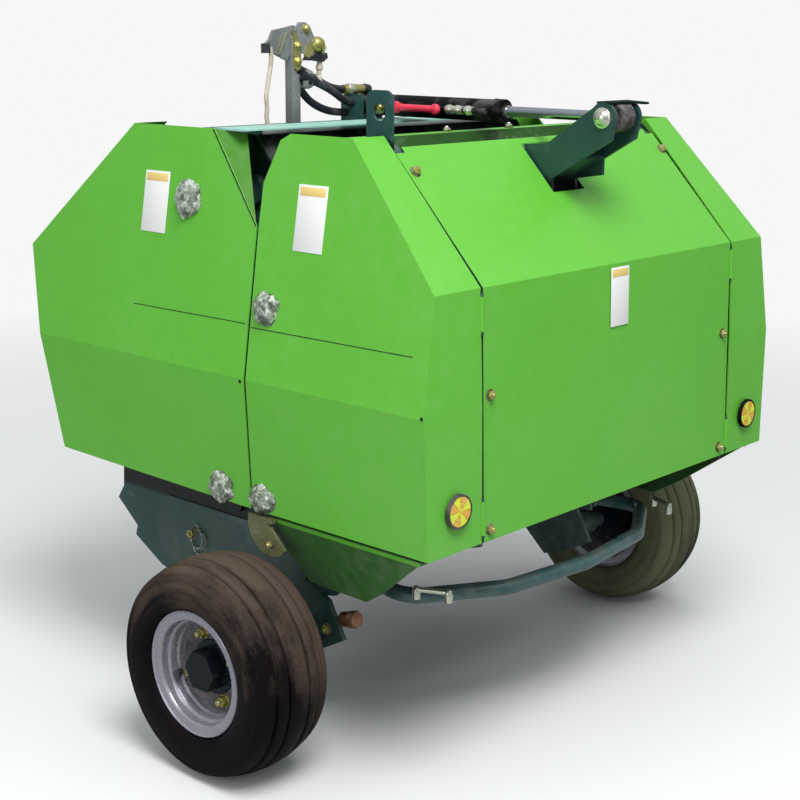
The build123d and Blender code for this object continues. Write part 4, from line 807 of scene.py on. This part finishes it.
def dress_bracket():
    """Bracket plates with bolts, the clear wrapping, the stub beside the wheel and the ramp's rods."""
    for side, hand in SIDES:
        out = Vector((side, 0, 0))
        bolts("bracket_bolt_" + hand, [at(side * 410, -46, 221)], out, "frame")
        corners = [at(side * (PLATE_X - 0.5), *spot) for spot in bracket_outline]
        plate_piece("bracket_plate_" + hand, corners, out * 3.5 * MM, TEAL, "frame", 20)
        bolts("lobe_bolt_" + hand, [at(side * (PLATE_X + 2), 366, 320)], out, "frame")
        bm = bmesh.new()
        for turn, (wide, tall) in enumerate(WRAPPING_RINGS):
            ring = []
            for i in range(RING_STEPS + 1):
                a = 2 * pi * i / RING_STEPS
                x = PLATE_X + 4 + 3 * turn + 1.5 * sin(3 * a)
                ring.append(at(side * x, 345 + wide * cos(a + turn), 308 + tall * sin(a + turn) + 5 * turn))
            add_tube(bm, ring, 1.2, 8)
        finish_piece("lobe_wrapping_" + hand, bm, FILM, "frame")
    stub = [(0, 0), (15, 0), (15, 20), (17, 23), (17.5, 27), (17.5, 34), (15, 39), (8, 41), (0, 41)]
    matrix = frame_of(at(-390, -70, 242), (0, -1, 0.24))
    turned_piece("copper_stub", matrix, stub, 30, COPPER, "frame")
    bm = bmesh.new()
    for side in (-1, 1):
        near, far = at(side * 392, -262, 354), at(side * 366, -318, 354)
        add_tube(bm, [near, far], 5.5, 14)
        for spot in (near, far):
            add_lathe(bm, frame_of(spot - Vector((0, 0, 0.018)), (0, 0, 1)),
                      [(0, 0), (8, 0), (8, 14), (6.5, 22), (3, 25), (0, 25)], 18)
    finish_piece("ramp_rods", bm, BRIGHT_ZINC, "ramp")


# Cylinder above the roof, with its valve line and lever
MOUNT_Y = 251.0
MOUNT_Z = TOP_Z + 28.0
CLEVIS_Y = -395.0
CLEVIS_Z = TOP_Z + 26.0
RISE = atan2(CLEVIS_Z - MOUNT_Z, MOUNT_Y - CLEVIS_Y)
LINE_X = -38.0
LEVER_FACE_X = -55.5


def on_axis(along, x=0.0):
    """Point at a distance along the cylinder from its mount."""
    return at(x, MOUNT_Y - along * cos(RISE), MOUNT_Z + along * sin(RISE))


def along_axis(along, x=0.0):
    """Frame whose local Z runs along the cylinder, from its mount to its rod."""
    return frame_of(on_axis(along, x), on_axis(along + 1) - on_axis(along))


def dress_cylinder():
    """Rings, port, valve line and lever; profiles count their places from the mount, along the cylinder."""
    bm = bmesh.new()
    axis = along_axis(0)
    add_lathe(bm, axis, [(22.5, 40), (24, 41), (24, 50), (22.5, 51)], 40, close=True)
    add_lathe(bm, axis, [(22.6, 360), (23.6, 361), (23.6, 364), (22.6, 365)], 40, close=True)
    gland = [(10.4, 384), (15, 384), (16.5, 386), (16.5, 390), (14.5, 392), (10.4, 392)]
    add_lathe(bm, axis, gland, 32, close=True)
    add_lathe(bm, along_axis(78, -22), [(0, -8), (7, -8), (8, -6), (8, 6), (7, 8), (0, 8)], 18)
    finish_piece("barrel_rings", bm, BLACK, "cylinder")
    outwards = Vector((-1, 0, 0))
    boss = [(0, 0), (8, 0), (8, 16), (11, 19), (12, 25), (11, 31), (7, 35), (0, 36)]
    turned_piece("port_boss", frame_of(at(-20, 161, 1200), outwards), boss, 24, BRASS, "cylinder")
    wiper = [(10.3, 0), (12, 0), (12, 3), (10.3, 3)]
    turned_piece("wiper_ring", along_axis(391), wiper, 28, BRIGHT_ZINC, "cylinder", True)
    weld = [(10.2, 612), (15, 613), (16, 615), (16, 622), (12, 625), (10.2, 625)]
    turned_piece("rod_collar", axis, weld, 32, BLACK, "rod", True)
    bm = bmesh.new()
    line = along_axis(0, LINE_X)
    add_lathe(bm, line, [(0, 146), (6, 146), (6, 366), (0, 366)], 20, 1)
    add_lathe(bm, line, [(6, 166), (11, 167), (12, 170), (12, 204), (11, 207), (6, 208)], 24, 1)
    for place in (268, 290, 316):
        ferrule = [(5.9, -2), (8, -1), (9.5, 3), (9.5, 9), (8, 13), (5.9, 14)]
        add_lathe(bm, line, [(radius, place + z) for radius, z in ferrule], 24)
        add_hex(bm, line, 15.5, place + 13.5, place + 19)
    for place in (156, 356):
        add_tube(bm, [on_axis(place, LINE_X), on_axis(place, -21)], 5.5, 14, 1)
    add_lathe(bm, frame_of(on_axis(187, LINE_X), outwards), [(0, 0), (7, 0), (7, 16), (5, 18), (0, 18)], 18)
    piece = finish_piece("valve_line", bm, [BRIGHT_ZINC, BLACK], "cylinder")
    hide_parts("oil_line")
    bm = bmesh.new()
    start, end = on_axis(145, LEVER_FACE_X), on_axis(251, LEVER_FACE_X)
    add_tube(bm, smooth_path([start, start.lerp(end, 0.3), start.lerp(end, 0.7), end], 6), 7.2, 16)
    knob = [(0, -5), (10, -5), (12.5, -3), (12.5, 3), (10.5, 5.5), (4, 5.5), (3.4, 4), (0, 4)]
    add_lathe(bm, frame_of(start, outwards), knob, 9)
    add_lathe(bm, along_axis(153, LEVER_FACE_X), [(0, 0), (9.4, 0), (9.4, 5), (0, 5)], 20)
    add_lathe(bm, frame_of(end, outwards), [(0, -5), (8, -5), (10.5, -3), (10.5, 3), (8, 5.5), (0, 5.8)], 22)
    piece = finish_piece("red_lever", bm, RED, "cylinder", 45)
    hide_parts("valve_lever")


def dress_clevis():
    """Bright domed pin heads, the flat plate over the far cheek and the dark bush in the eye."""
    bm = bmesh.new()
    dome = [(0, 0), (18, 0), (19, 1), (19, 2.5), (18, 3.5), (15.5, 3.8), (14, 5), (13, 8), (9.5, 11),
            (4, 12.6), (0, 13)]
    for side in (-1, 1):
        add_lathe(bm, frame_of(at(side * 43, CLEVIS_Y, CLEVIS_Z), (side, 0, 0)), dome, 36)
    finish_piece("pin_heads", bm, BRIGHT_ZINC, "tailgate")
    corners = [at(x, station, TOP_Z + up) for x, station, up in
               ((-42, -380, 51.5), (57, -380, 51.5), (57, -428, 49), (44, -428, 49), (30, -412, 50),
                (-42, -410, 50))]
    # The top plate is given the near black of painted shade
    plate_piece("clevis_top_plate", corners, Vector((0, 0, 4)) * MM, SHADE_TEAL, "tailgate")
    bm = bmesh.new()
    for low, high in ((-21.6, -15), (15, 21.6)):
        add_lathe(bm, frame_of(at(0, CLEVIS_Y, CLEVIS_Z), (1, 0, 0)),
                  [(13.5, low), (21.2, low), (21.2, high), (13.5, high)], 32, close=True)
    finish_piece("eye_bush", bm, RUST, "rod")


# Hoses: the routes of the part's source
PORT_X = -45.0
JUNCTION_X = -158.0
JUNCTION_Z = (TOP_Z + 58.0, TOP_Z + 104.0)
END_IN = 4.0
COUPLER_X = -52.0
COUPLER_R = 10.0
COUPLER_Z = MOUNT_Z + 20.3 + COUPLER_R
POST_X = -200.0
POST_Y = 256.0
FRONT_HOSE_Y = POST_Y - 16
BACK_HOSE_Y = POST_Y + 4
UPPER_PORT_Z = TOP_Z + 30.0
LOWER_PORT_Z = TOP_Z + 11.0
HOSE_D = 16.0
upper_hose = [(PORT_X + END_IN, FRONT_HOSE_Y, UPPER_PORT_Z), (-70, FRONT_HOSE_Y, UPPER_PORT_Z + 7),
              (-98, FRONT_HOSE_Y - 1, UPPER_PORT_Z + 24), (-128, FRONT_HOSE_Y, UPPER_PORT_Z + 38),
              (JUNCTION_X - END_IN, FRONT_HOSE_Y, UPPER_PORT_Z + 50)]
lower_hose = [(PORT_X + END_IN, BACK_HOSE_Y, LOWER_PORT_Z), (-72, BACK_HOSE_Y, LOWER_PORT_Z + 1),
              (-105, BACK_HOSE_Y + 1, LOWER_PORT_Z + 7), (-137, BACK_HOSE_Y, LOWER_PORT_Z + 19),
              (-161, BACK_HOSE_Y + 1, LOWER_PORT_Z + 35), (-176, BACK_HOSE_Y, JUNCTION_Z[0] + END_IN)]
coupled_hose = [(JUNCTION_X - END_IN, BACK_HOSE_Y, JUNCTION_Z[1] - 10), (-128, BACK_HOSE_Y, COUPLER_Z + 22),
                (-102, BACK_HOSE_Y, COUPLER_Z + 9), (-76, BACK_HOSE_Y, COUPLER_Z + 2),
                (COUPLER_X + END_IN, BACK_HOSE_Y, COUPLER_Z)]


def add_hose(name, points):
    """Hose on a smooth line of its route's points."""
    data = bpy.data.curves.new(name, "CURVE")
    data.dimensions = "3D"
    spline = data.splines.new("NURBS")
    spline.points.add(len(points) - 1)
    for point, spot in zip(spline.points, points):
        point.co = (*at(*spot), 1.0)
    spline.order_u = 3
    spline.use_endpoint_u = True
    spline.resolution_u = 12
    data.bevel_depth = HOSE_D / 2 * MM
    data.bevel_resolution = 5
    data.use_fill_caps = True
    data.materials.append(HOSE)
    hose = bpy.data.objects.new(name + "_run", data)
    scene.collection.objects.link(hose)
    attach(hose, "frame")
    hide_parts(name)


add_hose("hose_upper", upper_hose)
add_hose("hose_lower", lower_hose)


# Control post and its head; heights count from the roof, and outlines are (x, height) points
POST_SIDE = 23.0
POST_TOP = 168.0
POST_FOOT = -15.0
left_arm = [(-279, 150), (-279, 134), (-262, 136), (-222, 120), (-214, 128), (-190, 176), (-200, 188),
            (-232, 182), (-256, 178), (-266, 160)]
arm_grip = [(-281, 152), (-281, 134), (-268, 134), (-270, 154)]
post_strap = [(-209, 176), (-210, 112), (-207, 103), (-200, 99), (-193, 103), (-190, 112), (-191, 180)]
right_arm = [(-206, 178), (-194, 194), (-178, 194), (-166, 186), (-150, 158), (-136, 146), (-142, 130),
             (-170, 130), (-190, 134)]
arm_under = [(-184, 128), (-166, 122), (-158, 140), (-176, 152)]
clamp = [(-176, 119), (-170, 127), (-150, 132), (-124, 134), (-121, 124), (-134, 116), (-152, 119)]
# Outline, distance of its rear face behind the post's middle, thickness and finish
POST_PLATES = [(left_arm, 6, 8, 0), (arm_grip, 9, 14, 3), (post_strap, POST_SIDE / 2 + 4, 4, 1),
               (right_arm, 16, 7, 0), (arm_under, 20, 5, 1), (clamp, 22, 20, 3)]
hanging_wire = [(-264, 146), (-261, 130), (-263, 112), (-266, 96), (-272, 70), (-276, 50), (-274, 28),
                (-276, 10), (-272, -8), (-273, -14)]
# Radius of each bent sleeve of the hose junction, and its (x, distance behind the post, height) points
SLEEVES = [(11.5, [(-196, 4, 102), (-180, 4, 96), (-156, 2, 88)]),
           (10.5, [(-190, 16, 92), (-176, 16, 86), (-154, 16, 78)])]


def head_at(x, behind, above):
    """Point of the post's head: x, distance behind the post's middle, height above the roof."""
    return at(x, POST_Y - behind, TOP_Z + above)


def dress_post():
    """Post with its head: arms, strap, clamp, joints, hanging wires and the hoses' sleeves."""
    bm = bmesh.new()
    post = Matrix.Translation(head_at(POST_X, 0, (POST_TOP + POST_FOOT) / 2))
    add_box(bm, post, (POST_SIDE, POST_SIDE, POST_TOP - POST_FOOT), 2.5)
    add_box(bm, Matrix.Translation(head_at(POST_X, 0, POST_FOOT + 3)), (44, 44, 6), 1.0)
    for outline, behind, thickness, finish in POST_PLATES:
        add_prism(bm, [head_at(x, behind, z) for x, z in outline], Vector((0, thickness, 0)) * MM, finish)
    push_rod = Matrix.Translation(head_at(-236, 10, 152)) @ Matrix.Rotation(radians(24), 4, "Y")
    add_box(bm, push_rod, (3, 5, 46), 1.0, 1)
    backwards = Vector((0, -1, 0))
    for height in (118, 148):
        add_bolt(bm, head_at(POST_X, POST_SIDE / 2 + 4, height), backwards, 12, 1, 1)
    add_bolt(bm, head_at(-178, 16, 182), backwards, 13, 1, 1)
    ball = [(0, -20), (12, -18), (16, -10), (16.5, -2), (14, 5), (9, 9), (3, 10.5), (0, 11)]
    add_lathe(bm, frame_of(head_at(-146, 20, 150), backwards), ball, 26, 1)
    add_hex(bm, frame_of(head_at(-136, 12, 143), (0.5, -0.5, -0.3)), 18, 0, 13, 1)
    stud = [(0, 0), (5.5, 0), (5.5, 8), (7.5, 9), (7.5, 17), (5, 18), (5, 30), (8, 33), (8.5, 44), (0, 44)]
    add_lathe(bm, frame_of(head_at(-135, 12, 118), (-0.12, 0, -1)), stud, 18, 2)
    path = smooth_path([head_at(x, 3, z) for x, z in hanging_wire], 6)
    add_tube(bm, path, 4.6, 12, 2)
    add_tube(bm, [spot + Vector((2.5, 3, 0)) * MM for spot in path[::2]], 3.6, 10, 2)
    for radius, points in SLEEVES:
        add_tube(bm, smooth_path([head_at(*point) for point in points], 6), radius, 18, 3)
    add_tube(bm, [head_at(-176, -4, 88), head_at(-176, -4, 56)], 10, 18, 3)
    add_box(bm, Matrix.Translation(head_at(-174, 6, 82)), (26, 36, 38), 8, 3)
    piece = finish_piece("post_and_head", bm, [POST, ZINC, STRAP, HOSE], "frame")
    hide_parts("control_post")


def dress_coupler():
    """Coupler with a knurled collar and a black cap."""
    bm = bmesh.new()
    matrix = frame_of(at(COUPLER_X, BACK_HOSE_Y, COUPLER_Z), (1, 0, 0))
    shell = [(0, 0), (10, 0), (10, 3), (9.2, 4), (9.2, 8), (10.6, 9), (10.6, 40), (9.6, 42), (9.6, 58),
             (0, 58)]
    add_lathe(bm, matrix, shell, 28)
    add_lathe(bm, matrix, [(10.9, 12), (11.6, 13), (11.6, 26), (10.9, 27)], 28, 2, close=True)
    add_lathe(bm, matrix, [(0, 57), (8, 57), (10.4, 60), (10.8, 66), (9.4, 76), (7, 81), (0, 82)], 24, 1)
    piece = finish_piece("hose_end", bm, [ZINC, HOSE, BRIGHT_ZINC], "frame")
    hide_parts("hose_coupler")
    return piece


dress_panels()
dress_labels()
dress_covers()
dress_edges()
dress_bracket()
dress_cylinder()
dress_clevis()
dress_post()
coupler = dress_coupler()
add_hose("hose_coupled", coupled_hose)
for side, hand in SIDES:
    ridge_tyre(side, hand)
    dress_wheel(side, hand)
    reflector(hand)


# Floor and light
BACKDROP = (0.93, 0.93, 0.93, 1.0)
FLOOR_HALF = 40.0
FLOOR_SEEN = (0.86, 0.86, 0.86, 1.0)
FLOOR_LIT = (0.42, 0.43, 0.42, 1.0)
SKY_LOW = (0.34, 0.36, 0.38, 1.0)
SKY_HIGH = (0.95, 0.98, 1.0, 1.0)
SKY_STRENGTH = 0.70
LIGHT_GOAL = Vector((0, 0, 0.6))


def add_floor():
    """Floor: pale to the camera, darker to the light it throws back, fading into the backdrop far away."""
    mesh = bpy.data.meshes.new("floor")
    corners = [(x * FLOOR_HALF, y * FLOOR_HALF, 0) for x, y in ((-1, -1), (1, -1), (1, 1), (-1, 1))]
    mesh.from_pydata(corners, [], [(0, 1, 2, 3)])
    floor = bpy.data.objects.new("floor", mesh)
    scene.collection.objects.link(floor)
    look, tree, place = new_material("floor")
    seen = tree.node("ShaderNodeLightPath").outputs["Is Camera Ray"]
    reach = tree.node("ShaderNodeVectorMath", {0: place}, operation="LENGTH").outputs["Value"]
    far = tree.times(tree.spread(reach, 1.6, 4.5), seen)
    colour = tree.mix(seen, FLOOR_LIT, FLOOR_SEEN)
    near = tree.node("ShaderNodeBsdfDiffuse", {"Color": colour})
    plain = tree.node("ShaderNodeEmission", {"Color": BACKDROP, "Strength": 1.0})
    tree.show(tree.node("ShaderNodeMixShader", {0: far, 1: near.outputs[0], 2: plain.outputs[0]}))
    mesh.materials.append(look)


def add_light(name, place, size, watts):
    data = bpy.data.lights.new(name, "AREA")
    data.size = size
    data.energy = watts
    light = bpy.data.objects.new(name, data)
    turn = (LIGHT_GOAL - place).to_track_quat("-Z", "Y").to_matrix().to_4x4()
    light.matrix_world = Matrix.Translation(place) @ turn
    scene.collection.objects.link(light)


def add_world():
    """Soft light, brighter from above, behind a plain backdrop for the camera."""
    world = bpy.data.worlds.new("studio")
    world.use_nodes = True
    scene.world = world
    tree = Tree(world.node_tree)
    world.node_tree.nodes.clear()
    seen = tree.node("ShaderNodeLightPath").outputs["Is Camera Ray"]
    way = tree.node("ShaderNodeTexCoord").outputs["Generated"]
    up = tree.axis(way, "Z")
    tone = tree.mix(tree.spread(up, -0.1, 0.9), SKY_LOW, SKY_HIGH)
    soft = tree.node("ShaderNodeBackground", {"Color": tone, "Strength": SKY_STRENGTH})
    plain = tree.node("ShaderNodeBackground", {"Color": BACKDROP, "Strength": 1.0})
    mixed = tree.node("ShaderNodeMixShader", {0: seen, 1: soft.outputs[0], 2: plain.outputs[0]})
    tree.show(mixed, "ShaderNodeOutputWorld")


add_floor()
add_world()
add_light("key", Vector((-1.6, -2.6, 4.6)), 2.2, 200)
add_light("side", Vector((-4.5, -0.5, 1.9)), 2.5, 30)
